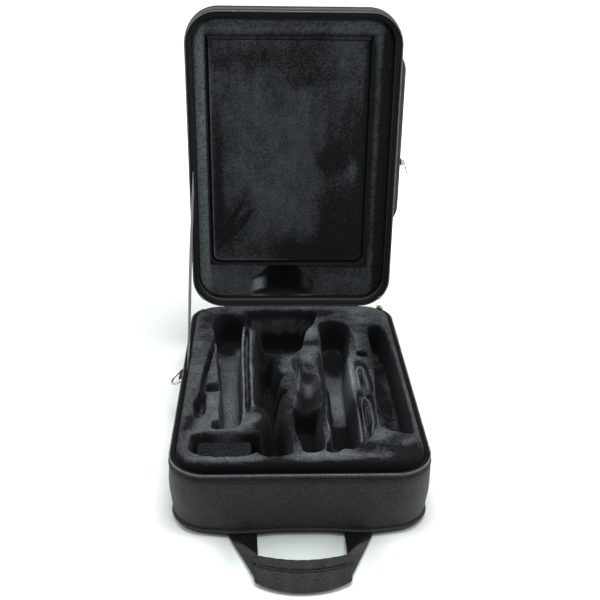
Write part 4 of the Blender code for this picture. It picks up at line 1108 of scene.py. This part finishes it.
def makeRibbon():
    # taut flat ribbon on edge; its foot and head are sewn to the two rims
    foot = np.array([case["halfLength"] - stay["forward"], case["baseDepth"] - stay["sewn"]])
    head = np.array([lidFace + stay["sewn"], hingeHeight + stay["up"]])
    rows, cols = 61, 9
    t = np.linspace(0, 1, rows)[:, None]
    w = np.linspace(-0.5, 0.5, cols)[None]
    reach = stay["width"] * math.sqrt(2)
    y = (foot[0] + w * reach) * (1 - t) + head[0] * t
    z = foot[1] * (1 - t) + (head[1] - w * reach) * t
    x = stay["x"] + 0.0007 * np.sin(np.pi * t) * (w * 2) + 0.0004 * np.sin(2 * np.pi * t + 1)
    left, right = (np.stack([x + side * stay["thick"] / 2, y, z], -1) for side in (-1, 1))
    grid = capped(np.concatenate([left, right[:, ::-1]], 1))
    length = float(np.linalg.norm(head - foot))
    along = np.concatenate([[0], np.linspace(0, length, rows), [length]])
    uv = clothUv(along, np.linspace(0, 2 * stay["width"], grid.shape[1] + 1))
    piece = surface("stayRibbon", grid, uv, wrapCols=True)
    bending(piece, ribbonCloth)
    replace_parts(piece, "stay_ribbon")


makeRibbon()
print("hinge and ribbon made")


handle = {
    "rootY": -0.1832, "rootZ": 0.0024, "rootIn": 0.0415, "rootOut": 0.0685, "thick": 0.0019,
    "gripHalf": 0.0445, "gripY": -0.2504, "bow": 0.011, "gripZ": 0.0092,
    "gripWidth": 0.0302, "gripEnd": 0.0258, "gripThick": 0.0074, "tilt": math.radians(24),
    "crease": 0.035, "bendFrom": 0.0005, "bendTo": 0.0125,
    "seam": 0.042, "endSeam": 0.0415,
}
cosTilt, sinTilt = math.cos(handle["tilt"]), math.sin(handle["tilt"])


def gripCentre(x):
    # the grip bows away from the case; its middle is furthest out
    share = x / handle["gripHalf"]
    y = handle["gripY"] + 0.0012 + handle["bow"] * np.abs(share) ** 2.1
    return y, np.full_like(x, handle["gripZ"])


def gripSize(share):
    # width and thickness of the grip at a share of its half length
    width = handle["gripEnd"] + (handle["gripWidth"] - handle["gripEnd"]) * (1 - share ** 4)
    return width, handle["gripThick"] * (0.72 + 0.28 * (1 - np.abs(share) ** 6))


def tilted(x, y, z, w, h):
    # a point w across and h over the grip's middle, in the grip's tilted plane
    return np.stack([x, y + w * cosTilt - h * sinTilt, z + w * sinTilt + h * cosTilt], -1)


def strapEnd(side):
    # one end of the strap: two flat faces that meet on a crease from the root's outer corner to
    # the grip's near corner, P = A + (B-A)(u-t) + (C-A)t where u > t, else A + (C-A)u + (D-A)(t-u)
    y, z = gripCentre(np.array([side * handle["gripHalf"]]))
    w = handle["gripEnd"] * 0.47
    end = np.array([side * (handle["gripHalf"] - 0.004)])
    a, b = (np.array([side * handle[root], handle["rootY"], handle["rootZ"]])
            for root in ("rootOut", "rootIn"))
    near, far = tilted(end, y, z, w, 0)[0], tilted(end, y, z, -w, 0)[0]
    n, m = 40, 24
    t, u = np.meshgrid(np.linspace(0, 1, n), np.linspace(0, 1, m), indexing="ij")
    gap = u - t
    smooth = np.sqrt(gap * gap + handle["crease"] ** 2)
    over, base = (gap + smooth) / 2, (u + t - smooth) / 2
    under = over - gap
    p = a + (b - a) * over[..., None] + (near - a) * base[..., None] + (far - a) * under[..., None]
    ridge = np.exp(-(gap / 0.16) ** 2) * np.sin(np.pi * np.clip((t + u) / 2, 0, 1))
    p[..., 2] += 0.0034 * ridge + 0.0008 * np.sin(np.pi * t) * np.sin(np.pi * u)
    # the face at the root lies in shade, the other is lightest just past the crease
    lean = gap + 0.16 * (1 - t)
    shade = 0.02 - 1.3 * smoothStep(-0.03, 0.05, lean) + 0.22 * np.exp(-((lean + 0.12) / 0.1) ** 2)
    normal = np.cross(np.gradient(p, axis=1), np.gradient(p, axis=0))
    normal /= np.maximum(np.linalg.norm(normal, axis=-1)[..., None], 1e-12)
    half = normal * handle["thick"] / 2
    grid = capped(np.concatenate([p + half, (p - half)[:, ::-1]], 1))
    along = np.concatenate([[0], np.linspace(0, 0.055, n), [0.055]])
    uv = clothUv(along, np.linspace(0, 0.054, 2 * m + 1))
    shade = np.concatenate([shade, shade[:, ::-1]], 1)
    shade = np.concatenate([shade[:1], shade, shade[-1:]], 0)
    piece = surface("handleStrap" + ("Left" if side < 0 else "Right"), grid, uv, wrapCols=True,
                    napAndPaintedLight=shade)
    bending(piece, handleCloth)
    return piece


def makeGrip():
    # a sleeve of superellipse section, ends drawn in, with a lapped seam along its upper face
    n, m = 80, 56
    x = np.linspace(-1, 1, n)
    a = np.linspace(0, 2 * np.pi, m, endpoint=False)
    width, thick = gripSize(x)
    cosA, sinA = np.cos(a), np.sin(a)
    across = np.sign(cosA) * np.abs(cosA) ** 0.62
    deep = np.sign(sinA) * np.abs(sinA) ** 0.85
    lap = 0.0005 * smoothStep(-0.25, -0.17, -across) * (sinA > 0)
    place = x * handle["gripHalf"]
    y, z = gripCentre(place)
    h = deep * thick[:, None] / 2 + lap
    h = h + 0.00025 * np.sin(x[:, None] * 31 + 2 * across) * (deep > 0)
    grid = tilted(place[:, None] * (1 + 0.035 * across), y[:, None], z[:, None],
                  across * width[:, None] / 2, h)
    # each end closes with a drawn-in ring, a hole and the hole's middle
    ends = []
    for row, inward in ((grid[:1], 0.0036), (grid[-1:], -0.0036)):
        centre = row.mean(1, keepdims=True)
        drawn = centre + (row - centre) * 0.78
        hole = drawn + [inward, 0, 0]
        ends.append([drawn, hole, 0 * hole + hole.mean(1, keepdims=True)])
    grid = np.concatenate([*ends[0][::-1], grid, *ends[1]], 0)
    along = np.concatenate([np.full(3, place[0]), place, np.full(3, place[-1])])
    uv = clothUv(along, np.linspace(0, 0.062, m + 1))
    # painted highlight along both long edges, darker along the lapped seam, faint bands along the
    # grip
    seam = np.exp(-((across - 0.20) / 0.085) ** 2) * (sinA > 0)
    rim = np.exp(-((np.abs(across) - 0.97) / 0.06) ** 2)
    shade = (0.16 * rim - 0.75 * seam)[None] + 0.04 * np.sin(along[:, None] / 0.0031)
    piece = surface("handleGrip", grid, uv, wrapCols=True, napAndPaintedLight=shade)
    dress(piece, "handle", handleCloth, "handle_webbing", "handle_grip")


def gripPoint(x, share):
    # a point on the grip's upper face; share runs from -1 at the far edge to 1 at the near edge
    y, z = gripCentre(x)
    width, thick = gripSize(x / handle["gripHalf"])
    cosA = np.sign(share) * np.abs(share) ** (1 / 0.62)
    sinA = np.sqrt(1 - cosA ** 2)
    return tilted(x, y, z, share * width / 2, thick / 2 * sinA ** 0.85 + 0.0006)


def gripStitches(name, points, length, width):
    # stitches between consecutive points of a line on the grip, one per span
    middle = (points[1:] + points[:-1]) / 2
    ahead = points[1:] - points[:-1]
    ahead /= np.linalg.norm(ahead, axis=1)[:, None]
    side = np.cross([0.0, -sinTilt, cosTilt], ahead)
    side /= np.linalg.norm(side, axis=1)[:, None]
    piece = scatter(name, *bead(length, width, width), middle, ahead, side, np.cross(ahead, side))
    dress(piece, "handle", threadBlack, "handle_webbing")


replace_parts(strapEnd(-1), "handle_webbing")
strapEnd(1)
makeGrip()
zig = np.where(np.arange(41) % 2 == 0, 0.16, 0.20)
gripStitches("gripSeam", gripPoint(np.linspace(-handle["seam"], handle["seam"], 41), zig),
             0.0034, 0.0009)
for k, x in enumerate((-handle["endSeam"], handle["endSeam"])):
    gripStitches("gripEndSeam" + str(k), gripPoint(np.full(13, x), np.linspace(-0.92, 0.92, 13)),
                 0.0018, 0.0006)
print("handle made")


pocket = {
    # middle and half sizes of three outlines: at the lid, at the zipper, at the panel's rim
    "foot": (0.007, 0.0242, 0.113, 0.1129), "seam": (0.013, 0.0242, 0.123, 0.1149),
    "rim": (0.010, 0.0242, 0.1175, 0.1109), "radius": 0.030, "face": 0.037, "seamRise": 0.006,
    "rise": 0.0155, "crown": 0.0046, "thick": 0.0014, "piping": 0.0013, "toothPitch": 0.0021,
    "stitchPitch": 0.0036, "stitch": (0.0027, 0.0009, 0.0008), "tooth": (0.0012, 0.0013, 0.0024),
    "stitchIn": 0.0048, "lidPanel": (0.0, 0.0, 0.125, 0.183), "panelStitchIn": 0.0062,
}
seamAt, pocketTop = pocket["face"] + pocket["seamRise"], pocket["face"] + pocket["rise"]


def pocketRun(form, count, inset=0.0, radius=pocket["radius"]):
    # once round an outline without the doubled last point; the lengths keep theirs
    x, y, halfX, halfY = form
    run, normals, s = roundedRun(halfX - inset, halfY - inset, radius - inset, count)
    return run[:-1] + np.array([x, y]), normals[:-1], s


def atLid(pts, depth):
    return lidPoint(pts[:, 0], pts[:, 1], depth)


def drawnTo(grid, form, share):
    # world points drawn across the lid towards the middle of an outline
    middle = lidPoint(form[0], form[1], 0.0)
    return middle + (grid - middle) * [share, 1, share]


def pocketBand(name, rows, around, s, material, slotName, *replaced):
    grid = np.stack(rows, 0)
    uv = clothUv(np.linspace(0, around, len(grid) + 1), s)
    piece = surface(name, grid, uv, wrapRows=True, wrapCols=True)
    dress(piece, "lid", material, slotName, *replaced)


def pocketRow(name, small, run, out, depth, material, slotName, *replaced):
    # one small shape at each point of a run on the lid, lying along it
    flat, ahead = (np.stack([u, 0 * u, v], -1) for u, v in
                   ((out[:, 0], out[:, 1]), (-out[:, 1], out[:, 0])))
    back = np.broadcast_to([0.0, 1, 0], flat.shape)
    piece = scatter(name, *small, atLid(run, depth), ahead, flat, back)
    dress(piece, "lid", material, slotName, *replaced)


def pocketPanel(seam, rim, normals, s):
    # rolled edge from the zipper to the rim, then a crown that sags and ripples
    low, around = seamAt + 0.0030, 2 * np.pi * s[:-1]
    ripple = 0.0004 * np.sin(around / 0.043) + 0.0003 * np.sin(around / 0.019)
    rows = []
    for a in np.linspace(0, np.pi / 2, 8):
        k = math.sin(a)
        pts = seam * (1 - k) + rim * k + normals * 0.0012 * math.sin(2 * a)
        rows.append(atLid(pts, low + (pocketTop - low) * (1 - math.cos(a)) + ripple * k))
    centre = np.array(pocket["rim"][:2])
    for share in np.concatenate([np.linspace(0.985, 0.90, 4), np.linspace(0.86, 0.0, 22)]):
        pts = centre + (rim - centre) * share
        x, y = pts.T
        q = 1 - share
        crown = pocket["crown"] * (1 - (1 - q) ** 2.2)
        slack = y + 0.35 * x
        wave = (0.0010 * np.sin(x / 0.016 + 1.7 * np.sin(y / 0.027)) * np.sin(y / 0.021)
                + 0.0009 * np.sin(slack / 0.0085 + 2.2 * np.sin(x / 0.041))
                * np.exp(-((slack + 0.01) / 0.05) ** 2)) * smoothStep(0, 0.3, q)
        pull = 0.0009 * np.exp(-(q / 0.035) ** 2) * np.sin(around / 0.025)
        rows.append(atLid(pts, pocketTop + crown + wave + pull + ripple * (1 - q) ** 6))
    outside = np.stack(rows, 0)
    inside = drawnTo(outside[::-1] - [0, pocket["thick"], 0], pocket["rim"], 0.988)
    grid = np.concatenate([outside, inside], 0)
    uv = np.stack([grid[..., 0], grid[..., 2]], -1)
    uv = np.concatenate([uv, uv[:, :1]], 1)
    uv = np.concatenate([uv, uv[:1]], 0)
    piece = surface("pocketPanel", grid, uv, wrapRows=True, wrapCols=True)
    dress(piece, "lid", blackNylon, "black_nylon", "pocket_panel")


def makePocket():
    foot, _, s = pocketRun(pocket["foot"], 281)
    seam, normals, _ = pocketRun(pocket["seam"], 281)
    rim = pocketRun(pocket["rim"], 281)[0]
    rows = [atLid(foot * (1 - t) + seam * t + normals * 0.0008 * np.sin(np.pi * t),
                  pocket["face"] + 0.0004 + (pocket["seamRise"] - 0.0006) * t)
            for t in np.linspace(0, 1, 7)]
    rows += [drawnTo(row, pocket["seam"], 0.985) for row in rows[::-1]]
    pocketBand("pocketGusset", rows, 0.02, s, blackNylon, "black_nylon", "pocket_gusset")
    pocketPanel(seam, rim, normals, s)

    run, out, _ = pocketRun(pocket["seam"], int(s[-1] / pocket["toothPitch"]) + 1)
    pocketRow("pocketTeeth", block(*pocket["tooth"], 0.4), run - out * 0.0006, out,
              seamAt + 0.0016, toothPlastic, "zipper_chain", "pocket_zipper_chain")
    rows = [atLid(seam + normals * outward, seamAt + depth) for outward, depth in
            ((-0.0030, 0.0002), (-0.0014, 0.0002), (-0.0013, 0.0012), (-0.0013, 0.0022),
             (-0.0014, 0.0031), (-0.0030, 0.0031))]
    pocketBand("pocketTape", rows, 0.009, s, tapeCloth, "zipper_tape")
    for name, form, inset, radius, depth in (
            ("pocketStitches", pocket["rim"], pocket["stitchIn"], pocket["radius"],
             pocketTop + 0.0006),
            ("panelStitches", pocket["lidPanel"], pocket["panelStitchIn"], case["corner"],
             pocket["face"] + 0.0002)):
        length = pocketRun(form, 10, inset, radius)[2][-1]
        run, out, _ = pocketRun(form, int(length / pocket["stitchPitch"]) + 1, inset, radius)
        if name == "panelStitches":  # none under the pocket
            x, y, halfX, halfY = pocket["seam"]
            clear = (np.abs(run[:, 0] - x) >= halfX) | (np.abs(run[:, 1] - y) >= halfY)
            run, out = run[clear], out[clear]
        pocketRow(name, bead(*pocket["stitch"]), run, out, depth, threadBlack, "black_nylon")
    edge = tube("pocketPiping", atLid(rim, pocketTop + 0.0004), pocket["piping"], sides=8,
                wrap=True)
    dress(edge, "lid", blackNylon, "black_nylon")


makePocket()
print("pocket made")


def unit(*v):
    v = np.array(v, float)
    return v / np.linalg.norm(v)


def rounded(a, squareX, squareY):
    # a superellipse from an angle: how far across and how far up
    return (np.sign(np.cos(a)) * np.abs(np.cos(a)) ** squareX,
            np.sign(np.sin(a)) * np.abs(np.sin(a)) ** squareY)


def sliderBody(name, centre, along, out, length, width, thick):
    # a slider seen as a waisted lozenge: broad shoulders, narrow tail, softly domed
    t = np.linspace(-1, 1, 22)
    waist = 1 - 0.28 * smoothStep(-0.1, 1.0, t)
    end = np.sqrt(np.clip(1 - np.abs(t) ** 7, 0, 1))
    w, h = rounded(np.linspace(0, 2 * np.pi, 28, endpoint=False), 0.45, 0.6)
    grid = (centre + along * (t * length / 2)[:, None, None]
            + np.cross(out, along) * ((waist * end)[:, None] * w[None] * width / 2)[..., None]
            + out * (end[:, None] * h[None] * thick / 2)[..., None])
    return surface(name, grid, wrapCols=True)


def pullTab(name, hinge, down, flat, length, width, thick):
    # a ring at the hinge, then a tab with a round end and a raised border
    across = np.cross(down, flat)
    a = np.linspace(0, 2 * np.pi, 48, endpoint=False)
    outline = np.stack([rounded(a, 1, 0.8)[1] * width / 2, (1 - np.cos(a)) * length / 2], -1)
    hole = np.stack([np.sin(a) * width * 0.26, 0.0032 - np.cos(a) * 0.0021], -1)
    rows = []
    for share, lift in ((0, -1), (0, 1), (0.12, 1.25), (0.3, 1.25), (0.4, 0.8), (0.85, 0.8),
                        (1, 1.1), (1, -1.1), (0.85, -0.8), (0.4, -0.8), (0.3, -1.25),
                        (0.12, -1.25)):
        pts = outline * (1 - share) + hole * share
        rows.append(hinge + across * pts[:, :1] + down * pts[:, 1:] + flat * (lift * thick * 0.4))
    return surface(name, np.stack(rows, 0), wrapRows=True, wrapCols=True)


joint = {j["name"]: j for j in frame["joints"]}
mainAlong = unit(*joint["main_pull_swing"]["axis"])
sliders = {
    "main": {"body": "base", "plate": bronzePlate, "size": (0.0092, 0.0068, 0.0040),
             "along": mainAlong, "out": unit(-mainAlong[1], mainAlong[0], 0),
             "tab": (0.0170, 0.0050, 0.0012), "tabDrop": 0.0005, "tilt": math.radians(84)},
    "pocket": {"body": "pocket_slider", "plate": nickelPlate, "size": (0.0100, 0.0056, 0.0040),
               "along": unit(0, 0, 1), "out": unit(1, 0, 0),
               "tab": (0.0172, 0.0046, 0.0011), "tabDrop": 0.0004, "tilt": math.radians(74)},
}
bridgeForm = {"half": 0.0030, "foot": 0.0016, "rise": 0.0014, "wire": 0.0006}


def makeSlider(name, form):
    # body, the bridge over it, and the pull tab that hangs in the bridge
    along, out, node = form["along"], form["out"], name + "_slider"
    centre = np.mean(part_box(node), axis=0)
    piece = sliderBody(name + "Slider", centre, along, out, *form["size"])
    dress(piece, form["body"], form["plate"], "nickel", node)
    a = np.linspace(0, np.pi, 15)[:, None]
    bridge = (centre + along * np.cos(a) * bridgeForm["half"]
              + out * (bridgeForm["foot"] + np.sin(a) * bridgeForm["rise"]))
    piece = tube(name + "Bridge", bridge, bridgeForm["wire"], 8)
    dress(piece, form["body"], form["plate"], "nickel")
    up, c, s = np.array([0, 0, 1]), math.cos(form["tilt"]), math.sin(form["tilt"])
    down, flat = unit(*(out * c - up * s)), unit(*(out * s + up * c))
    place = np.array(joint[name + "_pull_swing"]["pos_m"]) + down * form["tabDrop"]
    piece = pullTab(name + "PullTab", place, down, flat, *form["tab"])
    dress(piece, name + "_pull", bronzePlate, "nickel", name + "_pull_tab")


for name, form in sliders.items():
    makeSlider(name, form)

ring = {"reach": 0.014, "half": 0.013, "wire": 0.00135, "droop": math.radians(35)}
ringPlace = np.array(joint["d_ring_swing"]["pos_m"])


def makeRing():
    # half an ellipse and a straight bar, drooping about the bar
    a = np.linspace(np.pi / 2, 3 * np.pi / 2, 40)
    bar = np.linspace(-ring["half"], ring["half"], 16)[1:-1]
    reach = np.concatenate([np.cos(a) * ring["reach"], 0 * bar])
    along = np.concatenate([np.sin(a) * ring["half"], bar])
    loop = np.stack([reach * math.cos(ring["droop"]), along, reach * math.sin(ring["droop"])], -1)
    piece = tube("dRing", loop + ringPlace, ring["wire"], 12, wrap=True)
    dress(piece, "ring", nickelPlate, "nickel", "d_ring")


makeRing()

ringTab = {
    "bore": 0.0017, "outer": 0.0028, "half": 0.008,
    "tail": ((-0.0028, -0.0004), (-0.0020, -0.0022), (0.0002, -0.0032), (0.0004, -0.0040),
             (0.0004, -0.0135), (0.0016, -0.0142), (0.0027, -0.0135)),
}


def makeRingTab():
    # webbing folded over the ring's bar, both ends sewn flat to the wall below it
    def circle(radius, a):
        return np.stack([radius * np.cos(a), radius * np.sin(a)], -1)

    outer = np.concatenate([circle(ringTab["outer"], np.linspace(0, np.pi, 13)),
                            ringTab["tail"]])
    inner = circle(ringTab["bore"], np.linspace(0, 2 * np.pi, len(outer), endpoint=False))
    y = np.linspace(-ringTab["half"], ringTab["half"], 17)
    rows = [np.insert(profile, 1, k, axis=1) for profile, ys in ((outer, y), (inner, y[::-1]))
            for k in ys]
    uv = clothUv(np.concatenate([y, y[::-1], y[:1]]) + 0.01, np.linspace(0, 0.03, len(outer) + 1))
    piece = surface("ringTab", np.stack(rows, 0) + ringPlace, uv, wrapRows=True, wrapCols=True)
    dress(piece, "base", handleCloth, "handle_webbing", "d_ring_tab")


makeRingTab()
print("metal pieces made")


for name, material in (("flap_hook_strip", hookPile), ("ledge_loop_strip", hookPile),
                       ("flap_hinge_strip", lidVelvet)):
    nodes[name].data.materials.clear()
    nodes[name].data.materials.append(material)

pad = {"place": (-0.0733, -0.1438), "halfX": 0.0261, "halfY": 0.01785, "corner": 0.0030,
       "low": 0.0438, "high": 0.0682}


def makePad():
    # a thick pad: flat underside, upright edge, face drawn in at its rim
    run = roundedRun(pad["halfX"], pad["halfY"], pad["corner"], 121)[0][:-1]
    rows = []
    for share, height in ((0.0, 0), (0.5, 0), (0.97, 0), (1.0, 0.04), (1.0, 0.5), (1.0, 0.93),
                          (0.985, 0.965), (0.94, 0.98), (0.8, 0.99), (0.5, 1.0), (0.25, 1.0),
                          (0.0, 1.0)):
        pts = run * share + np.array(pad["place"])
        wave = 0.0002 * np.sin(pts[:, 0] / 0.005) * np.sin(pts[:, 1] / 0.004) * (height > 0.9)
        z = pad["low"] + (pad["high"] - pad["low"]) * height + wave
        rows.append(np.column_stack([pts, z]))
    piece = surface("accessoryPad", np.stack(rows, 0), wrapCols=True)
    dress(piece, "base", padVelvet, "charcoal_velvet", "accessory_pad")


makePad()


stage = {
    "size": 7.0, "drop": 0.0002, "shadeHalf": (0.046, 0.004, 0), "shadeReach": 0.056,
    "shadePlace": (0, -0.190, 0), "shaded": (0.46, 0.51, 0.50), "open": (0.82, 0.86, 0.86),
    "glow": (0.97, 1.0, 1.0, 1), "glowFrom": 0.36, "glowTo": 0.9, "world": 0.16,
}


def seenRays(tree):
    # 1 for rays that see the background, straight or in metal and glass, 0 for rays that light
    path = add(tree, "LightPath").outputs
    mirrored = maths(tree, "MAXIMUM", path["Is Glossy Ray"], path["Is Transmission Ray"])
    return maths(tree, "MAXIMUM", path["Is Camera Ray"], mirrored)


def vectorMaths(tree, operation, a, b=(0, 0, 0)):
    node = add(tree, "VectorMath", {0: a, 1: b}, operation=operation)
    return node.outputs["Value" if operation == "LENGTH" else "Vector"]


def makeStage():
    size = stage["size"]
    mesh = bpy.data.meshes.new("floor")
    mesh.from_pydata([(-size, -size, 0), (size, -size, 0), (size, size, 0), (-size, size, 0)], [],
                     [(0, 1, 2, 3)])
    floor = bpy.data.objects.new("floor", mesh)
    floor.location.z = -stage["drop"]
    bpy.context.scene.collection.objects.link(floor)
    material, tree, shader = newTree("paleFloor")
    place = add(tree, "TexCoord").outputs["Object"]
    # the ground inside the handle lies in the shade of the case: darker towards a point there
    off = place
    for operation, other in (("SUBTRACT", stage["shadePlace"]), ("ABSOLUTE", (0, 0, 0)),
                             ("SUBTRACT", stage["shadeHalf"]), ("MAXIMUM", (0, 0, 0)),
                             ("LENGTH", (0, 0, 0))):
        off = vectorMaths(tree, operation, off, other)
    outside = spread(tree, off, 0.0, stage["shadeReach"], kind="SMOOTHSTEP")
    feed(tree, shader, {"Base Color": tint(tree, outside, stage["shaded"], stage["open"]),
                        "Roughness": 0.9, "Specular IOR Level": 0.0})
    light = spread(tree, vectorMaths(tree, "LENGTH", place), stage["glowFrom"], stage["glowTo"],
                   kind="SMOOTHSTEP")
    glow = add(tree, "Emission", {"Color": stage["glow"],
                                  "Strength": maths(tree, "MULTIPLY", seenRays(tree), light)})
    both = add(tree, "AddShader", {0: shader.outputs[0], 1: glow.outputs[0]})
    feed(tree, tree.nodes["Material Output"], {0: both.outputs[0]})
    mesh.materials.append(material)


lamps = [
    # name, place, aim, size, power, colour
    ("topSoft", (0.10, -0.15, 1.7), (0, -0.05, 0.1), 1.1, 30.0, (1.0, 0.99, 0.98)),
    ("frontSoft", (0.3, -2.2, 1.2), (0, 0.1, 0.15), 1.2, 7.0, (0.98, 0.99, 1.0)),
    ("leftSoft", (-1.7, -0.3, 0.7), (0, 0.0, 0.12), 0.9, 10.0, (1.0, 0.99, 0.98)),
    ("rightSoft", (1.7, -0.3, 0.7), (0, 0.0, 0.12), 0.9, 18.0, (1.0, 0.99, 0.98)),
    ("backSoft", (-1.5, 1.3, 1.5), (0, 0.2, 0.2), 0.8, 17.0, (0.98, 0.99, 1.0)),
]


def lookAlong(thing, right, up, forward, place):
    # turns a lamp or camera by its own three axes, and puts it in the scene
    thing.matrix_world = Matrix([(right[i], up[i], -forward[i], place[i]) for i in range(3)]
                                + [(0, 0, 0, 1)])
    bpy.context.scene.collection.objects.link(thing)


def makeLights():
    for name, place, aim, size, power, colour in lamps:
        data = bpy.data.lights.new(name, "AREA")
        data.shape = "DISK"
        data.size = size
        data.energy = power
        data.color = colour
        forward = unit(*(np.array(aim) - np.array(place)))
        right = unit(*np.cross(forward, (0, 0.01, 1)))
        lamp = bpy.data.objects.new(name, data)
        lookAlong(lamp, right, np.cross(right, forward), forward, place)
    world = bpy.data.worlds.new("studio")
    bpy.context.scene.world = world
    world.use_nodes = True
    tree = world.node_tree
    strength = spread(tree, seenRays(tree), toLow=stage["world"])
    feed(tree, tree.nodes["Background"], {"Strength": strength, "Color": (1, 1, 1, 1)})


view = {
    "place": (-0.0327, -0.8673, 0.5627), "pitch": math.radians(24.804), "yaw": math.radians(-2.38),
    "roll": math.radians(0.908), "lens": 54.216,
}


def makeCamera():
    p, y, r = view["pitch"], view["yaw"], view["roll"]
    forward = np.array([-math.sin(y) * math.cos(p), math.cos(y) * math.cos(p), -math.sin(p)])
    right = np.array([math.cos(y), math.sin(y), 0])
    up = np.cross(right, forward)
    across = right * math.cos(r) + up * math.sin(r)
    above = -right * math.sin(r) + up * math.cos(r)
    data = bpy.data.cameras.new("photoView")
    data.lens = view["lens"]
    data.sensor_width = 36.0
    data.clip_start = 0.01
    camera = bpy.data.objects.new("photoView", data)
    lookAlong(camera, across, above, forward, view["place"])
    bpy.context.scene.camera = camera


makeStage()
makeLights()
makeCamera()
bpy.context.scene.view_settings.view_transform = "Standard"
bpy.context.view_layer.update()
print("scene ready")
